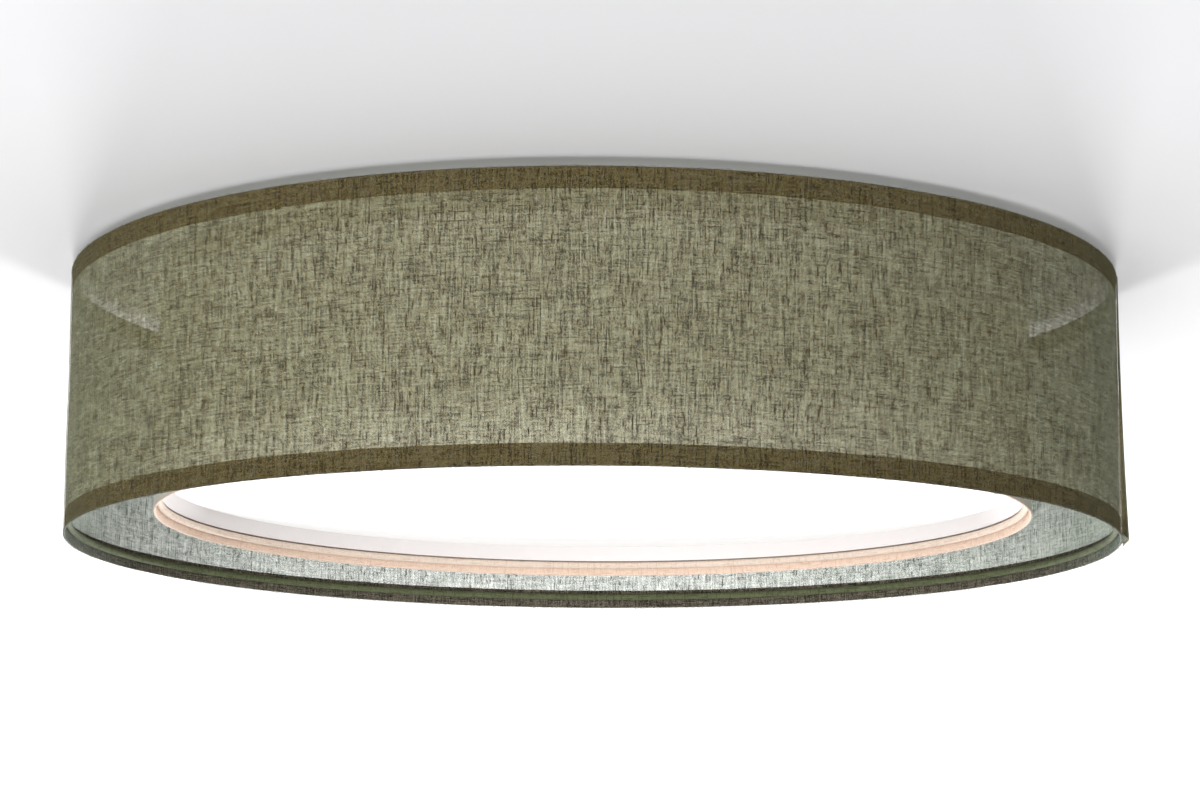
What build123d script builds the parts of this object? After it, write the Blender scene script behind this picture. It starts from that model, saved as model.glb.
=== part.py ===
from build123d import *
import os
from math import cos, degrees, radians, sin, sqrt, tan

# Flush mount ceiling light: a wide cloth drum shade with a second, smaller drum inside it, a white
# diffuser disc resting in the inner drum, and three lamps lying flat round a small canopy.
# All sizes are in millimetres. The origin is on the ceiling, at the centre of the ceiling bracket.
# +Z points up into the ceiling and +X runs along the bracket, so everything lies below z = 0.

# ---------------------------------------------------------------- cloth drums
OUTER_DIAMETER = 600.0      # outer drum, across its cloth
OUTER_HEIGHT = 150.0        # outer drum, rim to rim
OUTER_HEM = 11.0            # turned hem of the outer drum
OUTER_TUCK = 2.0            # hem cloth tucked behind the outer drum's ring wires
DRUM_GAP = 50.0             # from the outer drum's cloth in to the inner drum's cloth
INNER_HEIGHT = 125.0        # inner drum, rim to rim
INNER_HEM = 8.6             # turned hem of the inner drum
INNER_TUCK = 0.1            # hem cloth tucked behind the inner drum's ring wires
CLOTH = 0.5                 # thickness of the cloth
FILM = 0.3                  # thickness of the clear film behind the cloth
GLUE = 0.05                 # glue line between two layers
RING_WIRE = 3.0             # ring wire wrapped in each hem
SEAM_WIDTH = 12.0           # overlap where the cloth's two ends meet
OUTER_SEAM_TURN = -9.0      # where the outer seam stands, degrees from +X
INNER_SEAM_TURN = -78.3     # where the inner seam stands, degrees from +X
CEILING_GAP = 6.0           # ceiling to the outer drum's top rim

# ---------------------------------------------------------------- shade carrier
ARM_COUNT = 3
ARM_TURN = -95.9            # the first arm, degrees from +X
ARM_WIRE = 3.0              # wire of the arms
ARM_BEND = 24.0             # bend radius where an arm levels out under the canopy
WELD = 0.02                 # thickness of a weld line
NOTCH_SIDE = 0.3            # room beside an arm where it passes through a hem
HUB_RADIUS = 20.0           # disc where the arms meet
HUB_THICKNESS = 2.5
HUB_HOLE = 5.25             # radius of the hole that goes over the stem
HUB_CLEAR = 0.3             # room above and below the hub
ARM_LANDING = 7.0           # length of arm welded onto the hub

# ---------------------------------------------------------------- diffuser
LEDGE_GAP = 0.6             # inner hem to the underside of the ledge ring
LEDGE_HEIGHT = 8.8          # height of the ledge ring
LEDGE_FOOT = 3.1            # ledge ring, radial width at its underside
LEDGE_SEAT = 5.1            # ledge ring, radial width under the disc
DISC_THICKNESS = 2.0        # opal diffuser disc
DISC_CLEAR = 1.5            # disc edge to the drum's film

# ---------------------------------------------------------------- canopy and ceiling bracket
CANOPY_RADIUS = 75.0
CANOPY_DEPTH = 26.0         # ceiling to the canopy's underside
CANOPY_WALL = 1.0
CANOPY_ROUND = 6.0          # outside radius of the canopy's lower edge
CANOPY_CEILING_GAP = 0.3    # ceiling to the canopy's rim
BRACKET_PAST_STUD = 9.0     # from a stud to the bracket's end
BRACKET_WIDTH = 25.0
BRACKET_THICKNESS = 2.0
CABLE_HOLE = 10.0           # radius of the supply cable's hole in the bracket
SLOT_SPACING = 76.0         # between the two ceiling screw slots
SLOT_LENGTH = 18.0          # end to end
SLOT_WIDTH = 5.2
STUD_INSET = 19.0           # canopy's edge in to each of the two studs that carry it
STUD_RADIUS = 2.0
STUD_HEAD = 4.0             # radius of a stud's flat head
STUD_HEAD_THICKNESS = 2.0
STUD_PAST_NUT = 5.0         # stud thread standing out below the canopy
SCREW_HOLE_CLEAR = 0.2      # radial room round studs, screws and rivets
THREAD_CLEAR = 0.06         # radial clearance of a nut on its thread
CAP_NUT_FLATS = 7.0         # across flats
CAP_NUT_HEX = 3.6           # height of the hexagon
CAP_NUT_DOME = 3.3          # radius of the domed end
NUT_SEAT = 0.2              # canopy's underside to a cap nut
EARTH_SCREW_PLACE = 19.5    # along the bracket
EARTH_SCREW_HEAD = 3.5      # radius
EARTH_SCREW_HEAD_HEIGHT = 2.1
EARTH_WASHER = 4.5          # radius
EARTH_WASHER_THICKNESS = 1.0

# ---------------------------------------------------------------- stem
STEM_RADIUS = 5.0
STEM_BORE = 3.5
STEM_ABOVE = 3.0            # stem standing out above its inner nut
STEM_BELOW = 3.5            # stem standing out below the shade nut
STEM_NUT_FLATS = 14.0
INNER_NUT_THICKNESS = 3.0
OUTER_NUT_THICKNESS = 6.0
SHADE_NUT_RADIUS = 13.0
SHADE_NUT_THICKNESS = 9.0
SHADE_NUT_BEVEL = 1.0
KNURL_COUNT = 28
KNURL_RADIUS = 0.8          # of each groove
KNURL_DEPTH = 0.4

# ---------------------------------------------------------------- terminal block
POLE_COUNT = 3
POLE_PITCH = 10.0
BLOCK_DEPTH = 16.0          # across the poles
BLOCK_HEIGHT = 15.0
BLOCK_PLACE = 48.0          # canopy's centre to the block's middle
BLOCK_BASE = 4.0            # height of the block's base between its poles
TOWER_WALL = 1.2            # wall beside the brass insert in each tower
INSERT_RADIUS = 3.2
INSERT_BORE = 2.1
INSERT_SET_BACK = 1.0       # block face in to the end of a brass insert
WIRE_HEIGHT = 8.0           # canopy floor up to the wires
TERMINAL_SCREW_RADIUS = 1.6
TERMINAL_SCREW_SPREAD = 4.0  # block's middle out to each row of screws
TERMINAL_SCREW_SET_BACK = 0.8  # block's top down to the top of a screw
SCREW_SLOT_WIDTH = 0.7
SCREW_SLOT_DEPTH = 0.8

# ---------------------------------------------------------------- lamps
LAMP_TURN = 60.0            # each lamp's place, degrees round from its arm
LAMP_CLEAR = 4.0            # canopy's underside to the top of a globe
GLOBE_RADIUS = 30.0
GLOBE_WALL = 1.2
BULB_LENGTH = 108.0
HOLDER_START = 54.0         # canopy's centre to the back of a lampholder
HOLDER_RADIUS = 20.0
HOLDER_LENGTH = 46.0
HOLDER_BASE = 10.0          # solid back of a lampholder
HOLDER_NECK = 15.0          # radius of its back
HOLDER_WALL = 2.2
HOLDER_MOUTH = 8.0          # depth of the wide mouth
SLEEVE_RADIUS = 13.7        # bore of the screw sleeve
SLEEVE_WALL = 0.4
SLEEVE_END = 3.0            # screw sleeve set back from the wide mouth
CAP_RADIUS = 13.2           # screw cap of the bulb
CAP_WALL = 0.4
CAP_LENGTH = 24.0
TIP_RADIUS = 4.5            # contact at the cap's end
TIP_LENGTH = 2.0
CAP_CLEAR = 6.0             # back of the holder's hollow to the bulb's contact
HOUSING_END = 64.0          # bulb's tip to the end of its housing
HOUSING_WALL = 1.6
PART_LINE = 0.1             # joint between two pieces of a bulb
PLATE_THICKNESS = 2.0       # bent plate that carries a lampholder
PLATE_WIDTH = 24.0
PLATE_FOOT = 20.0           # length of its foot on the canopy
RIVET_RADIUS = 1.6
RIVET_HEAD = 3.0            # radius
RIVET_HEAD_THICKNESS = 1.0
RIVET_SPREAD = 14.0         # between a plate's two rivets
NIPPLE_NUT_THICKNESS = 3.0
NIPPLE_PAST_NUT = 2.0
NIPPLE_SET_BACK = 1.0       # nipple's end, short of the holder's hollow
CONTACT_WIDTH = 6.0
CONTACT_THICKNESS = 0.5
CONTACT_REACH = 10.0        # holder's middle to the end of the contact's foot

# ---------------------------------------------------------------- lamp leads
LEAD_RADIUS = 2.0
LEAD_OUTLET = 27.0          # canopy's centre to each outlet
LEAD_START = 6.0            # straight stretch beside a terminal
LEAD_RISE = 9.0             # how far a lead climbs from its terminal before its outlet
LEAD_NUT_ROOM = 4.0         # stem nut's corner to the lead that passes beside it
LEAD_DROP = 18.0            # straight stretch below the canopy
LEAD_CUT_BACK = 2.0         # a lead's end, short of the hollow of its lampholder
BEND_SHARE = 0.45           # part of the shorter run beside a bend that the bend may take
GROMMET_RADIUS = 4.0
GROMMET_FLANGE = 5.5        # radius
GROMMET_FLANGE_THICKNESS = 1.2
GROMMET_CLEAR = 0.1

# ---------------------------------------------------------------- sizes that follow
OUTER_RADIUS = OUTER_DIAMETER / 2
INNER_RADIUS = OUTER_RADIUS - DRUM_GAP
BEAD_RADIUS = RING_WIRE / 2 + GLUE + CLOTH
LAMINATE = CLOTH + GLUE + FILM

OUTER_TOP = -CEILING_GAP
OUTER_BOTTOM = OUTER_TOP - OUTER_HEIGHT
OUTER_RING_INSET = OUTER_HEM - OUTER_TUCK - BEAD_RADIUS
INNER_RING_INSET = INNER_HEM - INNER_TUCK - BEAD_RADIUS
OUTER_RING_RADIUS = OUTER_RADIUS - LAMINATE - GLUE - BEAD_RADIUS
INNER_RING_RADIUS = INNER_RADIUS - LAMINATE - GLUE - BEAD_RADIUS

STUD_SPACING = 2 * (CANOPY_RADIUS - STUD_INSET)
BRACKET_LENGTH = STUD_SPACING + 2 * BRACKET_PAST_STUD
CANOPY_BOTTOM = -CANOPY_DEPTH
CANOPY_FLOOR = CANOPY_BOTTOM + CANOPY_WALL
HUB_TOP = CANOPY_BOTTOM - OUTER_NUT_THICKNESS - HUB_CLEAR
HUB_BOTTOM = HUB_TOP - HUB_THICKNESS
SHADE_NUT_TOP = HUB_BOTTOM - HUB_CLEAR
SHADE_NUT_BOTTOM = SHADE_NUT_TOP - SHADE_NUT_THICKNESS

# An arm lies under the outer ring wire, crosses over the inner ring wire and lands on the hub.
ARM_OUTER_Z = OUTER_TOP - OUTER_RING_INSET - RING_WIRE / 2 - WELD - ARM_WIRE / 2
ARM_INNER_Z = HUB_TOP + WELD + ARM_WIRE / 2
ARM_KNEE = CANOPY_RADIUS + 2 * ARM_WIRE
ARM_SLOPE = (ARM_OUTER_Z - ARM_INNER_Z) / (OUTER_RING_RADIUS - ARM_KNEE)
ARM_TURNS = [ARM_TURN + 360 / ARM_COUNT * k for k in range(ARM_COUNT)]


def arm_height(radius):
    """Height of an arm's middle at a distance from the stem, outside the canopy."""
    return ARM_INNER_Z + ARM_SLOPE * (radius - ARM_KNEE)


INNER_RING_DROP = (ARM_WIRE / 2 + RING_WIRE / 2 + WELD) * sqrt(1 + ARM_SLOPE ** 2)
INNER_TOP = arm_height(INNER_RING_RADIUS) - INNER_RING_DROP + INNER_RING_INSET
INNER_BOTTOM = INNER_TOP - INNER_HEIGHT
INNER_FILM_RADIUS = INNER_RADIUS - LAMINATE

LEDGE_BOTTOM = INNER_BOTTOM + INNER_HEM + LEDGE_GAP
LEDGE_TOP = LEDGE_BOTTOM + LEDGE_HEIGHT
LEDGE_RADIUS = INNER_FILM_RADIUS - GLUE

LAMP_Z = CANOPY_BOTTOM - LAMP_CLEAR - GLOBE_RADIUS
LAMP_TURNS = [turn + LAMP_TURN for turn in ARM_TURNS]
PLATE_INSIDE = HOLDER_START - PLATE_THICKNESS
RIVET_DISTANCE = (PLATE_INSIDE + HOLDER_START - PLATE_FOOT) / 2
BULB_START = HOLDER_BASE + CAP_CLEAR
CAP_START = BULB_START + TIP_LENGTH
CAP_END = CAP_START + CAP_LENGTH
SLEEVE_OUTSIDE = SLEEVE_RADIUS + SLEEVE_WALL
SLEEVE_FINISH = HOLDER_LENGTH - HOLDER_MOUTH - SLEEVE_END
WIRE_Z = CANOPY_FLOOR + WIRE_HEIGHT
SCREW_HOLE = STUD_RADIUS + SCREW_HOLE_CLEAR


# ---------------------------------------------------------------- helpers
def tube(inner, outer, low, high):
    """Round wall about the Z axis between two radii and two heights."""
    return Pos(0, 0, low) * (
        Cylinder(outer, high - low, align=(Align.CENTER, Align.CENTER, Align.MIN))
        - Cylinder(inner, high - low, align=(Align.CENTER, Align.CENTER, Align.MIN))
    )


def rod(radius, low, high):
    """Upright round bar between two heights."""
    return Pos(0, 0, low) * Cylinder(
        radius, high - low, align=(Align.CENTER, Align.CENTER, Align.MIN)
    )


def patch(inner, outer, low, high):
    """Flat rectangle between two radii and two heights, for turning about Z."""
    middle = Pos((inner + outer) / 2, (low + high) / 2)
    return middle * Rectangle(outer - inner, high - low)


def turned(outline, arc=360.0):
    """Solid made by turning an outline, drawn as (radius, height), about the Z axis."""
    return revolve(Plane.XZ * outline, Axis.Z, revolution_arc=arc)


def outlined(points):
    """Closed flat shape through a list of (radius, height) points."""
    return make_face(Polyline(*points, close=True))


def hexagon(flats, low, high):
    """Upright hexagonal bar, given its size across flats."""
    return Pos(0, 0, low) * extrude(
        RegularPolygon(radius=flats / 2, side_count=6, major_radius=False), high - low
    )


def block(x_range, y_range, z_range):
    """Box between three pairs of coordinates."""
    spans = [high - low for low, high in (x_range, y_range, z_range)]
    return Pos(x_range[0], y_range[0], z_range[0]) * Box(
        *spans, align=(Align.MIN, Align.MIN, Align.MIN)
    )


def group(solids):
    """Several separate solids that share one node."""
    return Compound(children=list(solids))


def round_bar(points, radius, bends):
    """Round bar along straight runs joined by bends."""
    path = FilletPolyline(*points, radius=bends)
    start = Plane(origin=path @ 0, z_dir=path % 0)
    return sweep(start * Circle(radius), path)


def at_turn(turn, distance=0.0, height=0.0):
    """Place at a distance from the stem in the direction of a turn about Z."""
    return Rot(0, 0, turn) * Pos(distance, 0, height)


# ---------------------------------------------------------------- cloth drums
def arm_notches(inner, outer, low, high):
    """Slots that the arms pass through, cut from a drum's wall between two radii and heights."""
    width = ARM_WIRE + 2 * NOTCH_SIDE
    slot = block((inner, outer), (-width / 2, width / 2), (low, high))
    return group(at_turn(turn) * slot for turn in ARM_TURNS)


def hem_fold(radius, rim, up, height):
    """Outline of a hem where it goes over the rim and down the film.

    rim is the height of the rim, and up is +1 for the top hem or -1 for the bottom one.
    """
    outside = radius - LAMINATE - GLUE
    inside = outside - CLOTH
    fold = patch(inside, radius, *sorted((rim, rim - up * CLOTH)))
    return fold + patch(inside, outside, *sorted((rim, rim - up * height)))


def hem_outline(radius, rim, up, height, inset):
    """Outline of a whole hem: over the rim, down the film and round the ring wire."""
    wire = Pos(radius - LAMINATE - GLUE - BEAD_RADIUS, rim - up * inset)
    wrap = wire * (Circle(BEAD_RADIUS) - Circle(BEAD_RADIUS - CLOTH))
    return hem_fold(radius, rim, up, height) + wrap


def slit_hem(radius, rim, height, inset):
    """Top hem that is slit round each arm, from its lower edge up to the ring wire."""
    slit = degrees((ARM_WIRE + 2 * NOTCH_SIDE) / radius)
    whole = turned(hem_outline(radius, rim, 1, height, inset), 360 / ARM_COUNT - slit)
    bridge = turned(hem_fold(radius, rim, 1, inset - BEAD_RADIUS), slit)
    pieces = [at_turn(turn + slit / 2) * whole for turn in ARM_TURNS]
    pieces += [at_turn(turn - slit / 2) * bridge for turn in ARM_TURNS]
    return pieces[0].fuse(*pieces[1:])


def ring_wire(radius, height):
    """Round ring of wire about the Z axis."""
    return Pos(0, 0, height) * Torus(radius, RING_WIRE / 2)


def drum(radius, top, bottom, hem_height, inset):
    """One drum shade: cloth, film, turned hems and the ring wires inside them."""
    fold = CLOTH + GLUE
    film_outside = radius - CLOTH - GLUE
    ring_radius = radius - LAMINATE - GLUE - BEAD_RADIUS
    return {
        "cloth": tube(radius - CLOTH, radius, bottom + fold, top - fold),
        "liner": tube(film_outside - FILM, film_outside, bottom + fold, top - fold),
        "hem_top": turned(hem_outline(radius, top, 1, hem_height, inset)),
        "hem_bottom": turned(hem_outline(radius, bottom, -1, hem_height, inset)),
        "ring_top": ring_wire(ring_radius, top - inset),
        "ring_bottom": ring_wire(ring_radius, bottom + inset),
    }


def seam(radius, top, bottom, turn):
    """Overlapping end of the cloth, glued on the outside of a drum."""
    arc = degrees(SEAM_WIDTH / radius)
    strip = turned(patch(radius + GLUE, radius + GLUE + CLOTH, bottom, top), arc)
    return Rot(0, 0, turn - arc / 2) * strip


def outer_drum():
    """Outer drum, its top hem slit round the arms where they meet the ring wire."""
    pieces = drum(OUTER_RADIUS, OUTER_TOP, OUTER_BOTTOM, OUTER_HEM, OUTER_RING_INSET)
    pieces["hem_top"] = slit_hem(OUTER_RADIUS, OUTER_TOP, OUTER_HEM, OUTER_RING_INSET)
    pieces["seam"] = seam(OUTER_RADIUS, OUTER_TOP, OUTER_BOTTOM, OUTER_SEAM_TURN)
    return {"outer_" + name: piece for name, piece in pieces.items()}


def inner_drum():
    """Inner drum, with slots in its top rim where the arms pass through."""
    pieces = drum(INNER_RADIUS, INNER_TOP, INNER_BOTTOM, INNER_HEM, INNER_RING_INSET)
    ring_z = INNER_TOP - INNER_RING_INSET
    inside = INNER_RING_RADIUS - 2 * BEAD_RADIUS
    outside = INNER_RADIUS + 2 * CLOTH
    wall_slots = arm_notches(inside, outside, ring_z, INNER_TOP + CLOTH)
    hem_slots = arm_notches(inside, outside, INNER_TOP - INNER_HEM - CLOTH, INNER_TOP + CLOTH)
    pieces["cloth"] -= wall_slots
    pieces["liner"] -= wall_slots
    pieces["hem_top"] -= hem_slots
    pieces["seam"] = seam(INNER_RADIUS, INNER_TOP, INNER_BOTTOM, INNER_SEAM_TURN)
    return {"inner_" + name: piece for name, piece in pieces.items()}


# ---------------------------------------------------------------- shade carrier and diffuser
def shade_carrier():
    """Arms and hub that hang both drums on the stem."""
    start = HUB_RADIUS - ARM_LANDING
    arm = round_bar(
        [
            (start, 0, ARM_INNER_Z),
            (ARM_KNEE, 0, ARM_INNER_Z),
            (OUTER_RING_RADIUS, 0, ARM_OUTER_Z),
        ],
        ARM_WIRE / 2,
        ARM_BEND,
    )
    parts = {f"spider_arm_{k + 1}": at_turn(turn) * arm for k, turn in enumerate(ARM_TURNS)}
    parts["fitter_hub"] = tube(HUB_HOLE, HUB_RADIUS, HUB_BOTTOM, HUB_TOP)
    return parts


def diffuser():
    """Ledge ring inside the inner drum and the opal disc that rests on it."""
    ledge = outlined(
        [
            (LEDGE_RADIUS, LEDGE_BOTTOM),
            (LEDGE_RADIUS, LEDGE_TOP),
            (LEDGE_RADIUS - LEDGE_SEAT, LEDGE_TOP),
            (LEDGE_RADIUS - LEDGE_FOOT, LEDGE_BOTTOM),
        ]
    )
    disc_radius = INNER_FILM_RADIUS - DISC_CLEAR
    return {
        "ledge_ring": turned(ledge),
        "diffuser_disc": rod(disc_radius, LEDGE_TOP, LEDGE_TOP + DISC_THICKNESS),
    }


# ---------------------------------------------------------------- ceiling bracket and canopy
def ceiling_bracket():
    """Flat steel bar with rounded ends, its cable hole, screw slots and tapped holes."""
    low = -BRACKET_THICKNESS
    bar = Pos(0, 0, low) * extrude(SlotOverall(BRACKET_LENGTH, BRACKET_WIDTH), BRACKET_THICKNESS)
    slot = Pos(0, 0, low) * extrude(SlotOverall(SLOT_LENGTH, SLOT_WIDTH), BRACKET_THICKNESS)
    for side in (-1, 1):
        bar -= Pos(side * SLOT_SPACING / 2) * slot
        bar -= Pos(side * STUD_SPACING / 2) * rod(SCREW_HOLE, low, 0)
    bar -= Pos(-EARTH_SCREW_PLACE) * rod(SCREW_HOLE, low, 0)
    return bar - rod(CABLE_HOLE, low, 0)


def bracket_studs():
    """Two threaded studs hanging from the bracket, their thin heads under the bar."""
    head = rod(STUD_HEAD, -BRACKET_THICKNESS - STUD_HEAD_THICKNESS, -BRACKET_THICKNESS)
    shank = rod(STUD_RADIUS, CANOPY_BOTTOM - NUT_SEAT - STUD_PAST_NUT, 0)
    return group(Pos(side * STUD_SPACING / 2) * (head + shank) for side in (-1, 1))


def earth_screw():
    """Pan head screw with a cup washer, under the bracket."""
    washer_low = -BRACKET_THICKNESS - EARTH_WASHER_THICKNESS
    head_low = washer_low - EARTH_SCREW_HEAD_HEIGHT
    screw = rod(EARTH_WASHER, washer_low, -BRACKET_THICKNESS)
    screw += rod(EARTH_SCREW_HEAD, head_low, washer_low)
    screw += rod(STUD_RADIUS, washer_low, 0)
    cut = SCREW_SLOT_WIDTH / 2
    reach = EARTH_SCREW_HEAD
    screw -= block((-reach, reach), (-cut, cut), (head_low, head_low + SCREW_SLOT_DEPTH))
    return Pos(-EARTH_SCREW_PLACE) * screw


def rivet_places():
    """Places of the rivets that hold the lampholder plates, in the canopy's plane."""
    return [
        at_turn(turn) * Pos(RIVET_DISTANCE, side * RIVET_SPREAD / 2)
        for turn in LAMP_TURNS
        for side in (-1, 1)
    ]


def canopy():
    """Pressed steel dish, open towards the ceiling, with its holes."""
    rim = -CANOPY_CEILING_GAP
    shell = rod(CANOPY_RADIUS, CANOPY_BOTTOM, rim)
    shell = fillet(shell.edges().group_by(Axis.Z)[0], CANOPY_ROUND)
    hollow = rod(CANOPY_RADIUS - CANOPY_WALL, CANOPY_FLOOR, rim)
    hollow = fillet(hollow.edges().group_by(Axis.Z)[0], CANOPY_ROUND - CANOPY_WALL)
    shell -= hollow
    shell -= rod(STEM_RADIUS + THREAD_CLEAR, CANOPY_BOTTOM, CANOPY_FLOOR)
    for side in (-1, 1):
        shell -= Pos(side * STUD_SPACING / 2) * rod(SCREW_HOLE, CANOPY_BOTTOM, CANOPY_FLOOR)
    for turn in LAMP_TURNS:
        outlet = rod(GROMMET_RADIUS + GROMMET_CLEAR, CANOPY_BOTTOM, CANOPY_FLOOR)
        shell -= at_turn(turn, LEAD_OUTLET) * outlet
    for place in rivet_places():
        shell -= place * rod(RIVET_RADIUS + SCREW_HOLE_CLEAR, CANOPY_BOTTOM, CANOPY_FLOOR)
    return shell


def bracket_rivets():
    """Rivets through the canopy's floor and the feet of the lampholder plates."""
    foot_low = CANOPY_BOTTOM - PLATE_THICKNESS
    rivet = rod(RIVET_RADIUS, foot_low, CANOPY_FLOOR)
    rivet += rod(RIVET_HEAD, foot_low - RIVET_HEAD_THICKNESS, foot_low)
    rivet += rod(RIVET_HEAD, CANOPY_FLOOR, CANOPY_FLOOR + RIVET_HEAD_THICKNESS)
    return group(place * rivet for place in rivet_places())


def cap_nut():
    """Domed nut with a blind bore, hanging with its dome down."""
    high = CANOPY_BOTTOM - NUT_SEAT
    low = high - CAP_NUT_HEX
    nut = hexagon(CAP_NUT_FLATS, low, high)
    nut += Pos(0, 0, low) * (Sphere(CAP_NUT_DOME) & Pos(0, 0, -CAP_NUT_DOME) * Box(
        2 * CAP_NUT_DOME, 2 * CAP_NUT_DOME, 2 * CAP_NUT_DOME
    ))
    return nut - rod(STUD_RADIUS + THREAD_CLEAR, high - STUD_PAST_NUT - THREAD_CLEAR, high)


def cap_nuts():
    """The two cap nuts that hold the canopy up."""
    return {
        f"cap_nut_{k + 1}": Pos(side * STUD_SPACING / 2) * cap_nut()
        for k, side in enumerate((-1, 1))
    }


# ---------------------------------------------------------------- stem
def stem():
    """Hollow threaded stem through the canopy's centre."""
    high = CANOPY_FLOOR + INNER_NUT_THICKNESS + STEM_ABOVE
    return tube(STEM_BORE, STEM_RADIUS, SHADE_NUT_BOTTOM - STEM_BELOW, high)


def stem_nuts():
    """Two hexagonal nuts that clamp the canopy between them."""
    low = CANOPY_BOTTOM - OUTER_NUT_THICKNESS
    high = CANOPY_FLOOR + INNER_NUT_THICKNESS
    bore = rod(STEM_RADIUS + THREAD_CLEAR, low, high)
    above = hexagon(STEM_NUT_FLATS, CANOPY_FLOOR, high)
    below = hexagon(STEM_NUT_FLATS, low, CANOPY_BOTTOM)
    return group([above - bore, below - bore])


def shade_nut():
    """Knurled round nut that clamps the hub against the stem's lower nut."""
    nut = rod(SHADE_NUT_RADIUS, SHADE_NUT_BOTTOM, SHADE_NUT_TOP)
    nut = chamfer(nut.edges(), SHADE_NUT_BEVEL)
    groove = rod(KNURL_RADIUS, SHADE_NUT_BOTTOM, SHADE_NUT_TOP)
    groove_place = SHADE_NUT_RADIUS + KNURL_RADIUS - KNURL_DEPTH
    for k in range(KNURL_COUNT):
        nut -= at_turn(360 / KNURL_COUNT * k, groove_place) * groove
    return nut - rod(STEM_RADIUS + THREAD_CLEAR, SHADE_NUT_BOTTOM, SHADE_NUT_TOP)


# ---------------------------------------------------------------- terminal block
def pole_places():
    """Place of each pole across the block."""
    return [POLE_PITCH * (k - (POLE_COUNT - 1) / 2) for k in range(POLE_COUNT)]


def lying_rod(radius, length):
    """Round bar along Y, centred on the origin."""
    return Rot(90, 0, 0) * Cylinder(radius, length)


def terminal_screw_places():
    """Places of the clamping screws, in the block's plane."""
    return [
        Pos(x, -BLOCK_PLACE + side * TERMINAL_SCREW_SPREAD)
        for x in pole_places()
        for side in (-1, 1)
    ]


def terminal_block():
    """Moulded block: a low base that carries one tower for each pole."""
    depth = (-BLOCK_PLACE - BLOCK_DEPTH / 2, -BLOCK_PLACE + BLOCK_DEPTH / 2)
    half = POLE_PITCH * POLE_COUNT / 2
    base_top = CANOPY_FLOOR + BLOCK_BASE
    tower_top = CANOPY_FLOOR + BLOCK_HEIGHT
    tower_half = INSERT_RADIUS + TOWER_WALL
    body = block((-half, half), depth, (CANOPY_FLOOR, base_top))
    for x in pole_places():
        body += block((x - tower_half, x + tower_half), depth, (CANOPY_FLOOR, tower_top))
    for x in pole_places():
        body -= Pos(x, -BLOCK_PLACE, WIRE_Z) * lying_rod(INSERT_RADIUS + GLUE, BLOCK_DEPTH)
    for place in terminal_screw_places():
        body -= place * rod(TERMINAL_SCREW_RADIUS + SCREW_HOLE_CLEAR, WIRE_Z, tower_top)
    return body


def terminal_inserts():
    """Brass tubes in the towers, with holes for the clamping screws."""
    length = BLOCK_DEPTH - 2 * INSERT_SET_BACK
    inserts = []
    for x in pole_places():
        place = Pos(x, -BLOCK_PLACE, WIRE_Z)
        insert = place * (lying_rod(INSERT_RADIUS, length) - lying_rod(INSERT_BORE, length))
        for side in (-1, 1):
            hole = rod(TERMINAL_SCREW_RADIUS + THREAD_CLEAR, WIRE_Z, WIRE_Z + INSERT_RADIUS)
            insert -= Pos(x, -BLOCK_PLACE + side * TERMINAL_SCREW_SPREAD) * hole
        inserts.append(insert)
    return group(inserts)


def terminal_screws():
    """Slotted clamping screws, two for each pole."""
    low = WIRE_Z + INSERT_BORE
    high = CANOPY_FLOOR + BLOCK_HEIGHT - TERMINAL_SCREW_SET_BACK
    screw = rod(TERMINAL_SCREW_RADIUS, low, high)
    cut = SCREW_SLOT_WIDTH / 2
    reach = TERMINAL_SCREW_RADIUS
    screw -= block((-reach, reach), (-cut, cut), (high - SCREW_SLOT_DEPTH, high))
    return group(place * screw for place in terminal_screw_places())


# ---------------------------------------------------------------- lamps
def lamp_place(turn):
    """Turns a piece drawn along +Z from a holder's back to lie outwards at a lamp's place."""
    return at_turn(turn, HOLDER_START, LAMP_Z) * Rot(0, 90, 0)


def holder_plate():
    """Bent plate that hangs a lampholder from the canopy, in the X direction."""
    half = PLATE_WIDTH / 2
    foot_low = CANOPY_BOTTOM - PLATE_THICKNESS
    foot = block(
        (HOLDER_START - PLATE_FOOT, HOLDER_START), (-half, half), (foot_low, CANOPY_BOTTOM)
    )
    leg = block((PLATE_INSIDE, HOLDER_START), (-half, half), (LAMP_Z, CANOPY_BOTTOM))
    middle = Pos(PLATE_INSIDE, 0, LAMP_Z) * Rot(0, 90, 0)
    leg += middle * rod(half, 0, PLATE_THICKNESS)
    plate = foot + leg
    plate -= middle * rod(STEM_RADIUS + THREAD_CLEAR, 0, PLATE_THICKNESS)
    for side in (-1, 1):
        hole = rod(RIVET_RADIUS + SCREW_HOLE_CLEAR, foot_low, CANOPY_BOTTOM)
        plate -= Pos(RIVET_DISTANCE, side * RIVET_SPREAD / 2) * hole
    return plate


def holder_nipple():
    """Hollow threaded nipple with its nut, joining a lampholder to its plate."""
    nut_back = -PLATE_THICKNESS - NIPPLE_NUT_THICKNESS
    end = HOLDER_BASE - NIPPLE_SET_BACK
    nipple = tube(STEM_BORE, STEM_RADIUS, nut_back - NIPPLE_PAST_NUT, end)
    nut = hexagon(STEM_NUT_FLATS, nut_back, -PLATE_THICKNESS)
    nut -= rod(STEM_RADIUS, nut_back, -PLATE_THICKNESS)
    return nipple + nut


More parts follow.
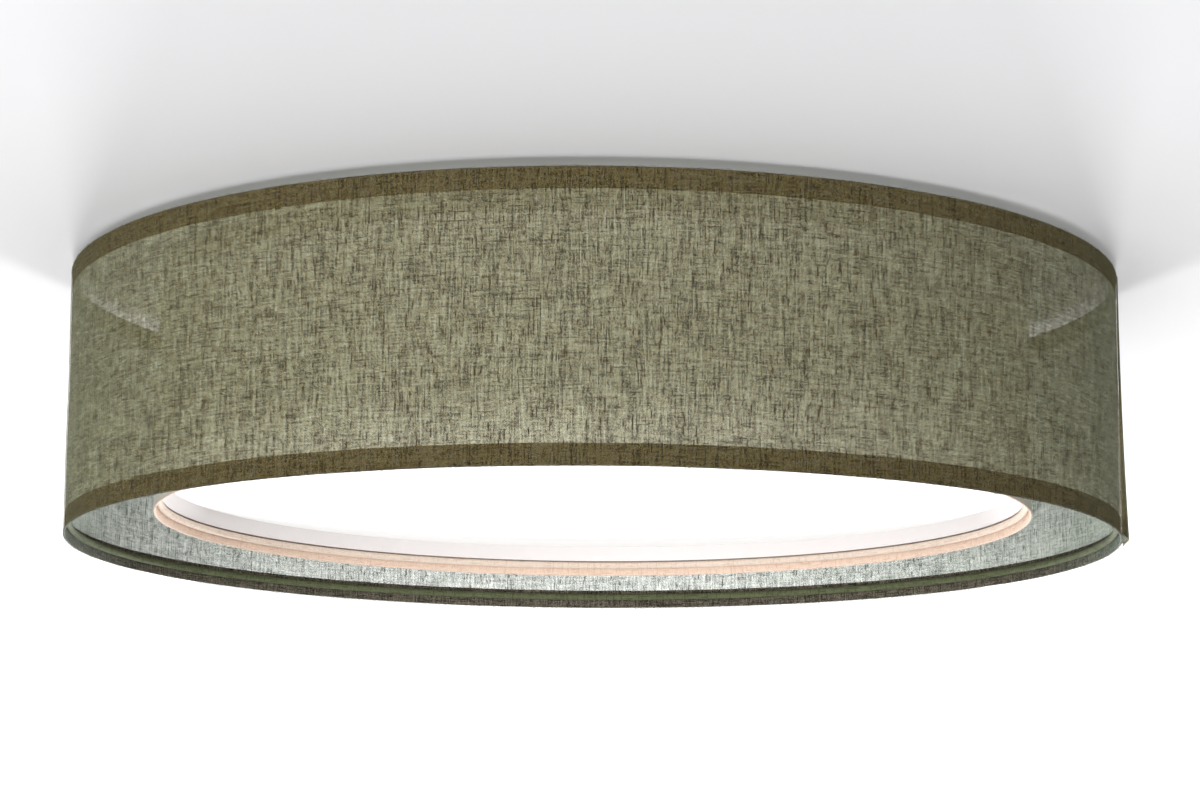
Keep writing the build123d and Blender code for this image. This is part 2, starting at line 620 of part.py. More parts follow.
def holder_body():
    """Moulded lampholder: solid back, narrow bore for the screw sleeve and a wide mouth."""
    mouth = HOLDER_LENGTH - HOLDER_MOUTH
    bore = SLEEVE_OUTSIDE + GLUE
    outline = outlined(
        [
            (STEM_RADIUS + THREAD_CLEAR, 0),
            (HOLDER_NECK, 0),
            (HOLDER_NECK, HOLDER_BASE),
            (HOLDER_RADIUS, HOLDER_BASE + CAP_CLEAR),
            (HOLDER_RADIUS, HOLDER_LENGTH),
            (HOLDER_RADIUS - HOLDER_WALL, HOLDER_LENGTH),
            (HOLDER_RADIUS - HOLDER_WALL, mouth),
            (bore, mouth),
            (bore, HOLDER_BASE),
            (STEM_RADIUS + THREAD_CLEAR, HOLDER_BASE),
        ]
    )
    return turned(outline)


def holder_contact():
    """Springy centre contact: a foot on the holder's back and a tongue up to the bulb."""
    half = CONTACT_WIDTH / 2
    low = HOLDER_BASE + CONTACT_THICKNESS / 2
    high = BULB_START - CONTACT_THICKNESS / 2
    strip = Polyline((CONTACT_REACH, low), (STEM_RADIUS, low), (-half, high), (half, high))
    outline = trace(strip, CONTACT_THICKNESS)
    return Pos(0, half, 0) * extrude(Plane.XZ * outline, CONTACT_WIDTH)


def holder_sleeve():
    """Thin metal sleeve that the bulb's cap turns in."""
    return tube(SLEEVE_RADIUS, SLEEVE_OUTSIDE, HOLDER_BASE + CAP_CLEAR, SLEEVE_FINISH)


def bulb_cap():
    """Metal cap: a thin closed cup with the contact on its end."""
    cap = tube(CAP_RADIUS - CAP_WALL, CAP_RADIUS, CAP_START, CAP_END)
    cap += rod(CAP_RADIUS, CAP_START, CAP_START + CAP_WALL)
    return cap + rod(TIP_RADIUS, BULB_START, CAP_START)


def bulb_housing():
    """Moulded cone from the cap out to the globe, hollow for the driver."""
    low = CAP_END + PART_LINE
    high = BULB_START + HOUSING_END
    wide = globe_radius_at(high)
    return turned(
        outlined(
            [
                (CAP_RADIUS - HOUSING_WALL, low),
                (CAP_RADIUS, low),
                (CAP_RADIUS, HOLDER_LENGTH),
                (wide, high),
                (wide - HOUSING_WALL, high),
                (CAP_RADIUS - HOUSING_WALL, HOLDER_LENGTH),
            ]
        )
    )


def globe_middle():
    """Height of the globe's middle above the holder's back."""
    return BULB_START + BULB_LENGTH - GLOBE_RADIUS


def globe_radius_at(height):
    """Radius of the globe at a height above the holder's back."""
    return sqrt(GLOBE_RADIUS ** 2 - (globe_middle() - height) ** 2)


def bulb_globe():
    """Opal globe: a thin ball cut off where it meets the housing."""
    low = BULB_START + HOUSING_END + PART_LINE
    middle = Pos(0, 0, globe_middle())
    keep = rod(GLOBE_RADIUS, low, BULB_START + BULB_LENGTH)
    return middle * (Sphere(GLOBE_RADIUS) - Sphere(GLOBE_RADIUS - GLOBE_WALL)) & keep


# ---------------------------------------------------------------- lamp leads
def lead_points():
    """Route of each lead, from its terminal to its lampholder."""
    face = -BLOCK_PLACE + BLOCK_DEPTH / 2
    left, middle, right = pole_places()
    top = WIRE_Z + LEAD_RISE
    beside_stem = STEM_NUT_FLATS / sqrt(3) + LEAD_NUT_ROOM + LEAD_RADIUS
    starts = [
        [(right, face, WIRE_Z), (right, face + LEAD_START, WIRE_Z)],
        [
            (middle, face, WIRE_Z),
            (middle, face + LEAD_START, WIRE_Z),
            (beside_stem, -beside_stem / 2, (WIRE_Z + top) / 2),
            (beside_stem, beside_stem / 2, top),
        ],
        [(left, face, WIRE_Z), (left, face + LEAD_START, WIRE_Z)],
    ]
    onward = [
        (LEAD_OUTLET, top),
        (LEAD_OUTLET, CANOPY_BOTTOM - LEAD_DROP),
        (HOLDER_START - LEAD_DROP, LAMP_Z),
        (HOLDER_START + HOLDER_BASE - LEAD_CUT_BACK, LAMP_Z),
    ]
    routes = []
    for turn, start in zip(LAMP_TURNS, starts):
        along = (cos(radians(turn)), sin(radians(turn)))
        routes.append(start + [(out * along[0], out * along[1], z) for out, z in onward])
    return routes


def bend_radii(points):
    """Largest round bend at each corner of a route that leaves its shorter run some straight."""
    radii = []
    for before, corner, after in zip(points, points[1:], points[2:]):
        arriving = Vector(corner) - Vector(before)
        leaving = Vector(after) - Vector(corner)
        half_turn = radians(arriving.get_angle(leaving)) / 2
        radii.append(BEND_SHARE * min(arriving.length, leaving.length) / tan(half_turn))
    return radii


def lamp_leads():
    """Sheathed leads from the terminal block through the canopy to the lampholders."""
    leads = {}
    for k, points in enumerate(lead_points()):
        radii = bend_radii(points)
        print(f"lamp_lead_{k + 1}: bend radii", [round(radius, 1) for radius in radii])
        leads[f"lamp_lead_{k + 1}"] = round_bar(points, LEAD_RADIUS, radii)
    return leads


def lead_grommets():
    """Rubber rings that line the canopy's outlets."""
    low = CANOPY_BOTTOM - GROMMET_FLANGE_THICKNESS
    high = CANOPY_FLOOR + GROMMET_FLANGE_THICKNESS
    bore = LEAD_RADIUS + GROMMET_CLEAR
    ring = tube(bore, GROMMET_RADIUS, low, high)
    ring += tube(bore, GROMMET_FLANGE, low, CANOPY_BOTTOM)
    ring += tube(bore, GROMMET_FLANGE, CANOPY_FLOOR, high)
    return group(at_turn(turn, LEAD_OUTLET) * ring for turn in LAMP_TURNS)


def lamps():
    """Plates, lampholders and bulbs of the three lamps."""
    parts = {}
    places = [lamp_place(turn) for turn in LAMP_TURNS]
    for k, (turn, place) in enumerate(zip(LAMP_TURNS, places), start=1):
        parts[f"holder_plate_{k}"] = at_turn(turn) * holder_plate()
        parts[f"holder_body_{k}"] = place * holder_body()
        parts[f"holder_sleeve_{k}"] = place * holder_sleeve()
        parts[f"bulb_cap_{k}"] = place * bulb_cap()
        parts[f"bulb_housing_{k}"] = place * bulb_housing()
        parts[f"bulb_globe_{k}"] = place * bulb_globe()
    parts["holder_nipples"] = group(place * holder_nipple() for place in places)
    parts["holder_contacts"] = group(place * holder_contact() for place in places)
    return parts


def ceiling_light():
    """Every node of the light by name."""
    parts = {
        "ceiling_bracket": ceiling_bracket(),
        "bracket_studs": bracket_studs(),
        "earth_screw": earth_screw(),
        "canopy": canopy(),
        "bracket_rivets": bracket_rivets(),
        "stem": stem(),
        "stem_nuts": stem_nuts(),
        "shade_nut": shade_nut(),
        "terminal_block": terminal_block(),
        "terminal_inserts": terminal_inserts(),
        "terminal_screws": terminal_screws(),
        "lead_grommets": lead_grommets(),
    }
    for sub_assembly in (cap_nuts, lamps, lamp_leads, shade_carrier, diffuser):
        parts.update(sub_assembly())
    parts.update(outer_drum())
    parts.update(inner_drum())
    return parts


os.makedirs("parts", exist_ok=True)
for node, shape in ceiling_light().items():
    export_step(shape, f"parts/{node}.step")
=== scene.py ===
"""Looks of a flush ceiling light with two cloth drums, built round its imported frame."""
import logging
import math
from collections.abc import Callable, Mapping, Sequence
from dataclasses import dataclass, field
from enum import Enum
from typing import Any

import bmesh
import bpy
from bpy.types import Material, Mesh, Modifier, Node, NodeSocket, NodeTree, Object
from mathutils import Matrix, Vector, noise


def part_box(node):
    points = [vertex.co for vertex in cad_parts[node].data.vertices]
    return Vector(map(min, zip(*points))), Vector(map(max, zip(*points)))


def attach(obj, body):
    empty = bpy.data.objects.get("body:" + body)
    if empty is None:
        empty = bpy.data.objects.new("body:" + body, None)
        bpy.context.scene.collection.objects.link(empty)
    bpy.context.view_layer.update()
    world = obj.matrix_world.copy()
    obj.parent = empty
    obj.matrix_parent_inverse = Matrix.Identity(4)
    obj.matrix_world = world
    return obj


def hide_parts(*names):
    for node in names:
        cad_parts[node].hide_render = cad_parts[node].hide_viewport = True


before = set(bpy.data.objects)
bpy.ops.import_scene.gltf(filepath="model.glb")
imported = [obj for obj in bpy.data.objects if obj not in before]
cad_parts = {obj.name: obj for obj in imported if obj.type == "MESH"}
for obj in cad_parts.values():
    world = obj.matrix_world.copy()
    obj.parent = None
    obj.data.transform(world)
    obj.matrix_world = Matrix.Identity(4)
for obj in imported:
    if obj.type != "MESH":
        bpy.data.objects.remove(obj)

LOG = logging.getLogger("ceiling_light")
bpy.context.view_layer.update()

Colour = tuple[float, float, float]
Point = tuple[float, float, float]
Outline = Sequence[tuple[float, float]]

MM = 0.001
SMOOTH_ANGLE = math.radians(35)
YARN_JUMP = 13.71           # way through the noise from one yarn to the next
YARN_SHIFT = 0.618          # shift of each yarn's noise along its run
EVEN = (1.0, 1.0, 1.0)      # the same for red, green and blue
ENDS = {1: ("top", "upper"), -1: ("bottom", "lower")}   # a rim's CAD name and its piece's

# socket types of the node groups' inputs and outputs
VALUE, WHOLE, VECTOR = "NodeSocketFloat", "NodeSocketInt", "NodeSocketVector"
SHAPE, PAINT = "NodeSocketGeometry", "NodeSocketMaterial"


def srgb(red: int, green: int, blue: int) -> Colour:
    """Returns the linear colour of an sRGB triple from 0 to 255."""
    def linear(value: int) -> float:
        share = value / 255
        return share / 12.92 if share <= 0.04045 else ((share + 0.055) / 1.055) ** 2.4
    return (linear(red), linear(green), linear(blue))


# ------------------------------------------------------------------ wiring of node trees
class Wiring:
    """Adds nodes to a shader or geometry tree and wires them together."""

    def __init__(self, tree: NodeTree) -> None:
        """Keeps the tree that the nodes go into."""
        self.tree = tree

    def add(self, kind: str, inputs: Mapping[int | str, Any] | None = None,
            **settings: Any) -> Node:
        """Adds one node.

        Args:
            kind: The node's type name.
            inputs: Value or source socket for each input, by index or name.
            settings: Properties set on the node itself.

        Returns:
            The new node.
        """
        node = self.tree.nodes.new(kind)
        for name, value in settings.items():
            setattr(node, name, value)
        self.fill(node, inputs or {})
        return node

    def fill(self, node: Node, inputs: Mapping[int | str, Any]) -> None:
        """Feeds several inputs of a node, by index or name."""
        for key, value in inputs.items():
            self.feed(node.inputs[key], value)

    def feed(self, socket: NodeSocket, value: Any) -> None:
        """Links a source socket to an input, or sets the input's own value."""
        if isinstance(value, NodeSocket):
            self.tree.links.new(value, socket)
        else:
            socket.default_value = value

    def math(self, operation: str, *values: Any, clamp: bool = False) -> NodeSocket:
        """Returns the result of one Math node."""
        return self.add("ShaderNodeMath", dict(enumerate(values)), operation=operation,
                        use_clamp=clamp).outputs[0]

    def point(self, x: Any = 0.0, y: Any = 0.0, z: Any = 0.0) -> NodeSocket:
        """Returns a vector made of three values."""
        return self.add("ShaderNodeCombineXYZ", {0: x, 1: y, 2: z}).outputs[0]

    def noise(self, where: Any, scale: float, detail: float = 2.0,
              roughness: float = 0.5) -> NodeSocket:
        """Returns the value of a Noise node."""
        return self.add("ShaderNodeTexNoise", {"Vector": where, "Scale": scale, "Detail": detail,
                                               "Roughness": roughness}).outputs[0]

    def tint(self, share: Any, first: Any, second: Any) -> NodeSocket:
        """Returns a mix of two colours."""
        node = self.add("ShaderNodeMix", data_type="RGBA")
        for socket, value in zip((node.inputs[0], node.inputs[6], node.inputs[7]),
                                 (share, first, second)):
            self.feed(socket, value if isinstance(value, (NodeSocket, float, int))
                      else (*value, 1.0))
        return node.outputs[2]


def open_group(name: str, kind: str, takes: Mapping[str, tuple[str, Any]],
               gives: Mapping[str, str]) -> tuple[Wiring, Node, Node]:
    """Starts a node group with named inputs and outputs.

    Args:
        name: The group's name.
        kind: ShaderNodeTree or GeometryNodeTree.
        takes: Socket type and default value of each input.
        gives: Socket type of each output.

    Returns:
        The wiring of the new tree, its input node and its output node.
    """
    tree = bpy.data.node_groups.new(name, kind)
    for label, (socket_type, default) in takes.items():
        socket = tree.interface.new_socket(label, in_out="INPUT", socket_type=socket_type)
        if default is not None:
            socket.default_value = default
    for label, socket_type in gives.items():
        tree.interface.new_socket(label, in_out="OUTPUT", socket_type=socket_type)
    wiring = Wiring(tree)
    return wiring, wiring.add("NodeGroupInput"), wiring.add("NodeGroupOutput")


def weave_group() -> NodeTree:
    """Returns the plain weave of uneven yarns that every cloth material uses.

    Its vector runs in metres along the cloth: X with the weft, round the drum, and Y with
    the warp. It gives the yarns' tone, their thick slubs, the small openings between yarns
    and the relief of the weave.
    """
    wiring, takes, gives = open_group(
        "plain_weave", "ShaderNodeTree",
        {"Cloth": (VECTOR, None), "Yarn": (VALUE, 0.9 * MM),
         "Slub Low": (VALUE, 0.62), "Slub High": (VALUE, 0.72),
         "Warp Share": (VALUE, 1.0), "Weft Slubs": (VALUE, 1.0)},
        dict.fromkeys(("Tone", "Slub", "Opening", "Relief"), VALUE))
    cloth = wiring.add("ShaderNodeSeparateXYZ", {0: takes.outputs["Cloth"]})
    yarn = takes.outputs["Yarn"]
    across = wiring.math("DIVIDE", cloth.outputs[0], yarn)
    along = wiring.math("DIVIDE", cloth.outputs[1], yarn)
    sway = wiring.noise(wiring.point(wiring.math("MULTIPLY", across, 0.02),
                                     wiring.math("MULTIPLY", along, 0.03), 0.0), 1.0)
    across = wiring.math("MULTIPLY_ADD", sway, 2.0, across)
    along = wiring.math("MULTIPLY_ADD", sway, 1.5, along)

    def yarns(side: NodeSocket, run: NodeSocket, rate: float, depth: float,
              detail: float) -> NodeSocket:
        """Returns a value of each yarn's own that drifts along its run."""
        index = wiring.math("FLOOR", side)
        shift = wiring.math("MULTIPLY_ADD", index, YARN_SHIFT, wiring.math("MULTIPLY", run, rate))
        where = wiring.point(wiring.math("MULTIPLY", index, YARN_JUMP), shift, depth)
        return wiring.noise(where, 1.0, detail, 0.75)

    warp = yarns(across, along, 0.03, 3.0, 2.0)
    weft = yarns(along, across, 0.035, 17.0, 2.0)
    fine = wiring.noise(wiring.point(across, along, 29.0), 1.15, 1.0)
    warp = wiring.math("MULTIPLY", wiring.math("SUBTRACT", warp, 0.5), takes.outputs["Warp Share"])
    tone = wiring.math("ADD", warp, wiring.math("SUBTRACT", weft, 0.5))
    tone = wiring.math("ADD", tone, wiring.math("MULTIPLY_ADD", fine, 1.4, -0.7))
    slubs = []
    for side, run, rate, depth in ((across, along, 0.08, 41.0), (along, across, 0.07, 53.0)):
        node = wiring.add("ShaderNodeMapRange",
                          {0: yarns(side, run, rate, depth, 0.5), 1: takes.outputs["Slub Low"],
                           2: takes.outputs["Slub High"]}, interpolation_type="SMOOTHSTEP")
        slubs.append(node.outputs[0])
    slubs[1] = wiring.math("MULTIPLY", slubs[1], takes.outputs["Weft Slubs"])
    slub = wiring.math("MAXIMUM", *slubs)
    waves = [wiring.math("SINE", wiring.math("MULTIPLY", value, math.pi))
             for value in (across, along)]
    gaps = [wiring.math("SUBTRACT", 1.0, wiring.math("ABSOLUTE", wave)) for wave in waves]
    opening = wiring.math("MAXIMUM", *gaps)
    relief = wiring.math("MULTIPLY_ADD", wiring.math("MULTIPLY", *waves), 0.5, 0.5)
    relief = wiring.math("MULTIPLY_ADD", slub, 0.5, relief)
    wiring.fill(gives, {"Tone": tone, "Slub": slub, "Opening": opening, "Relief": relief})
    return wiring.tree


def wear_group() -> NodeTree:
    """Returns the fine speckle, soft clouding and brushed grain that the hard finishes use."""
    wiring, takes, gives = open_group(
        "surface_wear", "ShaderNodeTree",
        {"Place": (VECTOR, None), "Speckle Scale": (VALUE, 900.0), "Grain Stretch": (VALUE, 1.0)},
        dict.fromkeys(("Speckle", "Cloud", "Grain"), VALUE))
    place = takes.outputs["Place"]
    speckle = wiring.add("ShaderNodeTexNoise", {"Vector": place, "Detail": 2.0,
                                                "Scale": takes.outputs["Speckle Scale"]})
    cloud = wiring.noise(place, 35.0, 3.0, 0.6)
    parts = wiring.add("ShaderNodeSeparateXYZ", {0: place})
    drawn = wiring.point(parts.outputs[0], parts.outputs[1],
                         wiring.math("MULTIPLY", parts.outputs[2], takes.outputs["Grain Stretch"]))
    grain = wiring.noise(drawn, 1400.0, 1.0)
    wiring.fill(gives, {"Speckle": speckle.outputs[0], "Cloud": cloud, "Grain": grain})
    return wiring.tree


SHARED: dict[str, NodeTree] = {}


def shared_group(build: Callable[[], NodeTree]) -> NodeTree:
    """Returns a node group that is built once and placed in many trees."""
    if build.__name__ not in SHARED:
        SHARED[build.__name__] = build()
    return SHARED[build.__name__]


# ------------------------------------------------------------------ finishes
@dataclass(frozen=True)
class Finish:
    """Base of every finish: a named Principled material."""

    name: str
    colour: Colour

    def start(self) -> tuple[Wiring, Node]:
        """Returns the wiring of a new material and its Principled node."""
        material = bpy.data.materials.new(self.name)
        material.use_nodes = True
        return Wiring(material.node_tree), material.node_tree.nodes["Principled BSDF"]

    def material(self) -> Material:
        """Returns the finish's material, made on first use."""
        if self.name not in bpy.data.materials:
            wiring, shader = self.start()
            self.dress(wiring, shader)
        return bpy.data.materials[self.name]

    def dress(self, wiring: Wiring, shader: Node) -> None:
        """Sets the plain colour."""
        wiring.fill(shader, {"Base Color": (*self.colour, 1.0)})

    def bump(self, wiring: Wiring, shader: Node, height: NodeSocket,
             depth: float, strength: float = 1.0) -> None:
        """Adds a relief to the surface."""
        node = wiring.add("ShaderNodeBump", {"Height": height, "Distance": depth,
                                             "Strength": strength})
        wiring.feed(shader.inputs["Normal"], node.outputs[0])


@dataclass(frozen=True)
class ClothFinish(Finish):
    """Woven cloth, laid out by the piece's own UV map in metres."""

    slub_colour: Colour = (0.0, 0.0, 0.0)
    yarn: float = 0.65 * MM
    cover: float = 1.0          # share of the light that the weave stops
    cover_swing: float = 0.0    # how much the cover follows the yarns' tone
    slub_cover: float = 0.0     # what a slub adds to the cover
    openness: float = 0.0       # what the cover loses between the yarns
    swing: float = 0.6          # how much the colour follows the yarns' tone
    darkest: float = 0.15       # share of the colour that the darkest yarn keeps
    slub_low: float = 0.62
    slub_high: float = 0.72
    warp_share: float = 1.0     # how much the warp's yarns differ, against the weft's
    weft_slubs: float = 1.0     # how strongly the weft's slubs show
    sheen: float = 0.0
    sheen_tint: Colour = (1.0, 1.0, 1.0)
    film: float = 0.0           # coat of clear film over the cloth
    glow: float = 0.0           # share of the light that wanders through the yarns
    glow_reach: float = 1.0 * MM
    steep_cover: float = 0.0    # what the film's gloss adds where it is seen edge on
    depth: float = 0.12 * MM

    def dress(self, wiring: Wiring, shader: Node) -> None:
        """Wires colour, cover and relief from the shared weave."""
        weave = wiring.add("ShaderNodeGroup", {
            "Cloth": wiring.add("ShaderNodeUVMap").outputs[0], "Yarn": self.yarn,
            "Slub Low": self.slub_low, "Slub High": self.slub_high,
            "Warp Share": self.warp_share, "Weft Slubs": self.weft_slubs},
            node_tree=shared_group(weave_group))
        tone, slub = weave.outputs["Tone"], weave.outputs["Slub"]
        light = wiring.math("MULTIPLY_ADD", tone, self.swing, 1.0)
        light = wiring.math("MAXIMUM", light, self.darkest)
        bright = wiring.add("ShaderNodeVectorMath", {0: self.colour, "Scale": light},
                            operation="SCALE")
        colour = wiring.tint(slub, bright.outputs[0], self.slub_colour)
        if self.cover < 1.0:
            cover = wiring.math("MULTIPLY_ADD", tone, -self.cover_swing, self.cover)
            cover = wiring.math("MULTIPLY_ADD", weave.outputs["Opening"], -self.openness, cover)
            cover = wiring.math("MULTIPLY_ADD", slub, self.slub_cover, cover, clamp=True)
            if self.steep_cover:
                facing = wiring.add("ShaderNodeLayerWeight", {"Blend": 0.5}).outputs["Facing"]
                cover = wiring.math("MULTIPLY_ADD", facing, self.steep_cover, cover, clamp=True)
            wiring.feed(shader.inputs["Alpha"], cover)
        wiring.fill(shader, {
            "Base Color": colour, "Roughness": 0.9, "Specular IOR Level": 0.2,
            "Sheen Weight": self.sheen, "Sheen Tint": (*self.sheen_tint, 1.0),
            "Sheen Roughness": 0.4,
            "Coat Weight": self.film, "Coat Roughness": 0.12, "Subsurface Weight": self.glow,
            "Subsurface Radius": EVEN, "Subsurface Scale": self.glow_reach})
        self.bump(wiring, shader, weave.outputs["Relief"], self.depth)


@dataclass(frozen=True)
class HardFinish(Finish):
    """Enamel, plating, moulding or metal with fine speckle, clouding and grain."""

    roughness: float = 0.4
    metallic: float = 0.0
    coat: float = 0.0
    clouding: float = 0.05      # how much the colour varies in soft clouds
    speckle: float = 0.06       # how much the roughness varies in fine specks
    speckle_scale: float = 900.0
    grain: float = 0.0          # how much the roughness follows the drawn grain
    grain_stretch: float = 0.02
    relief: float = 0.01 * MM
    glow: float = 0.0
    soft: float = 0.0           # share of the light that wanders below an opal surface
    soft_reach: float = 2 * MM

    def dress(self, wiring: Wiring, shader: Node) -> None:
        """Wires colour, roughness and relief from the shared wear."""
        wear = wiring.add("ShaderNodeGroup", {
            "Place": wiring.add("ShaderNodeTexCoord").outputs["Object"],
            "Speckle Scale": self.speckle_scale, "Grain Stretch": self.grain_stretch},
            node_tree=shared_group(wear_group))
        dull = tuple(part * (1 - self.clouding) for part in self.colour)
        colour = wiring.tint(wear.outputs["Cloud"], self.colour, dull)
        rough = wiring.math("MULTIPLY_ADD", wear.outputs["Speckle"], self.speckle,
                            self.roughness - self.speckle / 2)
        rough = wiring.math("MULTIPLY_ADD", wear.outputs["Grain"], self.grain, rough, clamp=True)
        wiring.fill(shader, {"Base Color": colour, "Roughness": rough,
                             "Metallic": self.metallic, "Coat Weight": self.coat})
        if self.glow:
            wiring.fill(shader, {"Emission Color": (*self.colour, 1.0),
                                 "Emission Strength": self.glow})
        if self.soft:
            wiring.fill(shader, {"Subsurface Weight": self.soft, "Subsurface Radius": EVEN,
                                 "Subsurface Scale": self.soft_reach})
        height = wear.outputs["Grain"] if self.grain else wear.outputs["Speckle"]
        self.bump(wiring, shader, height, self.relief)


OLIVE_LINEN = ClothFinish(
    "olive_linen", srgb(136, 120, 70), slub_colour=srgb(66, 54, 30), cover=0.51, cover_swing=0.7,
    slub_cover=0.3, openness=0.15, swing=3.1, slub_low=0.62, slub_high=0.74, warp_share=1.5,
    weft_slubs=0.8, sheen=0.1, sheen_tint=srgb(150, 200, 180), glow=0.7)
OLIVE_LAP = ClothFinish(
    "olive_linen_lap", srgb(118, 104, 68), slub_colour=srgb(60, 54, 32), cover=0.9, cover_swing=0.4,
    slub_cover=0.1, swing=2.5, slub_low=0.62, slub_high=0.74, warp_share=1.5, sheen=0.25,
    sheen_tint=srgb(150, 200, 180), glow=0.7)
# Inside of the outer wall: olive linen under clear film, coloured pale mint. The mint is painted
# light, standing for backlight through the weave and the film's reflection.
OLIVE_INSIDE_PAINTED_BACKLIGHT = ClothFinish(
    "olive_linen_under_film_painted_backlight", srgb(142, 156, 138), slub_colour=srgb(92, 98, 84), cover=0.54,
    cover_swing=0.2, slub_cover=0.24, swing=1.2, slub_low=0.64, slub_high=0.72, warp_share=1.8,
    weft_slubs=0.2, film=0.3, glow=0.7, steep_cover=0.4)
OLIVE_HEM = ClothFinish(
    "olive_linen_hem", srgb(84, 79, 68), slub_colour=srgb(52, 47, 38), swing=3.0,
    slub_low=0.62, slub_high=0.74, sheen=0.15, sheen_tint=srgb(150, 200, 180))
# Inner face of the outer drum's turned hem: the same olive linen painted dark slate, a painted
# shade for the doubled cloth that no light passes.
OLIVE_HEM_BACK_PAINTED_SHADE = ClothFinish(
    "olive_linen_hem_back_painted_shade", srgb(42, 48, 54), slub_colour=srgb(30, 32, 34), swing=5.0)
OLIVE_BEAD = ClothFinish(
    "olive_linen_bead", srgb(88, 94, 68), slub_colour=srgb(70, 76, 50), swing=0.8, yarn=0.7 * MM)
# Outside of the inner drum: cream cloth coloured strong yellow, a painted cast standing for the
# light that reaches it through the olive outer cloth.
IVORY_CLOTH_PAINTED_CAST = ClothFinish(
    "ivory_cloth", srgb(251, 236, 152), slub_colour=srgb(222, 206, 132), cover=0.6,
    cover_swing=0.1, slub_cover=0.15, swing=0.3, yarn=0.6 * MM, depth=0.06 * MM, glow=0.8)
IVORY_INSIDE = ClothFinish(
    "ivory_cloth_under_film", srgb(242, 236, 206), slub_colour=srgb(220, 210, 190), cover=0.6,
    cover_swing=0.1, slub_cover=0.15, swing=0.2, yarn=0.6 * MM, film=0.3, depth=0.06 * MM,
    glow=0.8)
IVORY_HEM = ClothFinish(
    "ivory_hem", srgb(219, 195, 177), slub_colour=srgb(206, 178, 158), swing=0.3, yarn=0.6 * MM,
    depth=0.06 * MM)
IVORY_HEM_BACK = ClothFinish(
    "ivory_hem_back", srgb(226, 180, 150), slub_colour=srgb(208, 164, 134), swing=0.3,
    yarn=0.6 * MM, depth=0.06 * MM)
IVORY_BEAD = ClothFinish(
    "ivory_bead", srgb(216, 199, 184), slub_colour=srgb(204, 182, 164), swing=0.2, yarn=0.6 * MM,
    depth=0.06 * MM)
OLIVE_FIBRE = HardFinish("olive_fibre", srgb(120, 116, 88), roughness=0.9, clouding=0.5)
IVORY_FIBRE = HardFinish("ivory_fibre", srgb(244, 236, 220), roughness=0.9, clouding=0.2)
WHITE_ENAMEL = HardFinish("white_enamel", srgb(236, 236, 232), roughness=0.35, coat=0.3)
WIRE_COAT = HardFinish("white_wire_coat", srgb(222, 222, 216), roughness=0.4)
WHITE_LEDGE = HardFinish("white_ledge", srgb(226, 221, 220), roughness=0.55, clouding=0.02)
# White opal acrylic given a darker blue-grey colour: painted cool shade, so its shaded far side
# reads grey-blue while the lights bring the rest back to white.
OPAL_DISC_SHADE_TINTED = HardFinish("opal_disc", srgb(190, 194, 202), roughness=0.08, clouding=0.01,
                       speckle=0.02, speckle_scale=300.0, relief=0.002 * MM, soft=0.3,
                       soft_reach=3 * MM)
ZINC_PLATE = HardFinish("zinc_plate", srgb(198, 200, 200), roughness=0.36, metallic=1.0,
                        clouding=0.25, grain=0.15)
BRIGHT_NICKEL = HardFinish("bright_nickel", srgb(214, 210, 204), roughness=0.14, metallic=1.0,
                           clouding=0.08, speckle=0.05)
PLAIN_BRASS = HardFinish("plain_brass", srgb(214, 180, 106), roughness=0.28, metallic=1.0,
                         clouding=0.2, grain=0.1)
NATURAL_NYLON = HardFinish("natural_nylon", srgb(232, 226, 208), roughness=0.5, soft=0.2)
HOLDER_WHITE = HardFinish("holder_moulding", srgb(240, 239, 234), roughness=0.38,
                          speckle_scale=1600.0, relief=0.02 * MM)
CAP_METAL = HardFinish("cap_metal", srgb(206, 208, 208), roughness=0.24, metallic=1.0, grain=0.12,
                       grain_stretch=30.0)
BULB_WHITE = HardFinish("bulb_moulding", srgb(246, 245, 241), roughness=0.28, coat=0.4)
OPAL_GLOBE = HardFinish("opal_globe", srgb(250, 250, 246), roughness=0.45, soft=0.4, glow=0.04)
GREY_RUBBER = HardFinish("grey_rubber", srgb(96, 96, 96), roughness=0.75, relief=0.03 * MM)
LEAD_SHEATH = HardFinish("lead_sheath", srgb(238, 238, 232), roughness=0.45)
CAP_INSULATOR = HardFinish("cap_insulator", srgb(40, 38, 36), roughness=0.2, coat=0.5)


# ------------------------------------------------------------------ mesh helpers
def finish_mesh(work: bmesh.types.BMesh, name: str, finish: Finish,
                angle: float = SMOOTH_ANGLE) -> Object:
    """Turns a finished bmesh into a smooth shaded object in the scene.

    Args:
        work: The mesh, freed here.
        name: Name of the piece.
        finish: Its finish.
        angle: Edges sharper than this stay sharp.

    Returns:
        The new object.
    """
    bmesh.ops.recalc_face_normals(work, faces=work.faces)
    mesh = bpy.data.meshes.new(name)
    work.to_mesh(mesh)
    work.free()
    mesh.shade_smooth()
    mesh.set_sharp_from_angle(angle=angle)
    mesh.materials.append(finish.material())
    return show(mesh, name)


def show(mesh: Mesh, name: str) -> Object:
    """Returns a mesh as a piece in the scene."""
    piece = bpy.data.objects.new(name, mesh)
    bpy.context.scene.collection.objects.link(piece)
    return piece


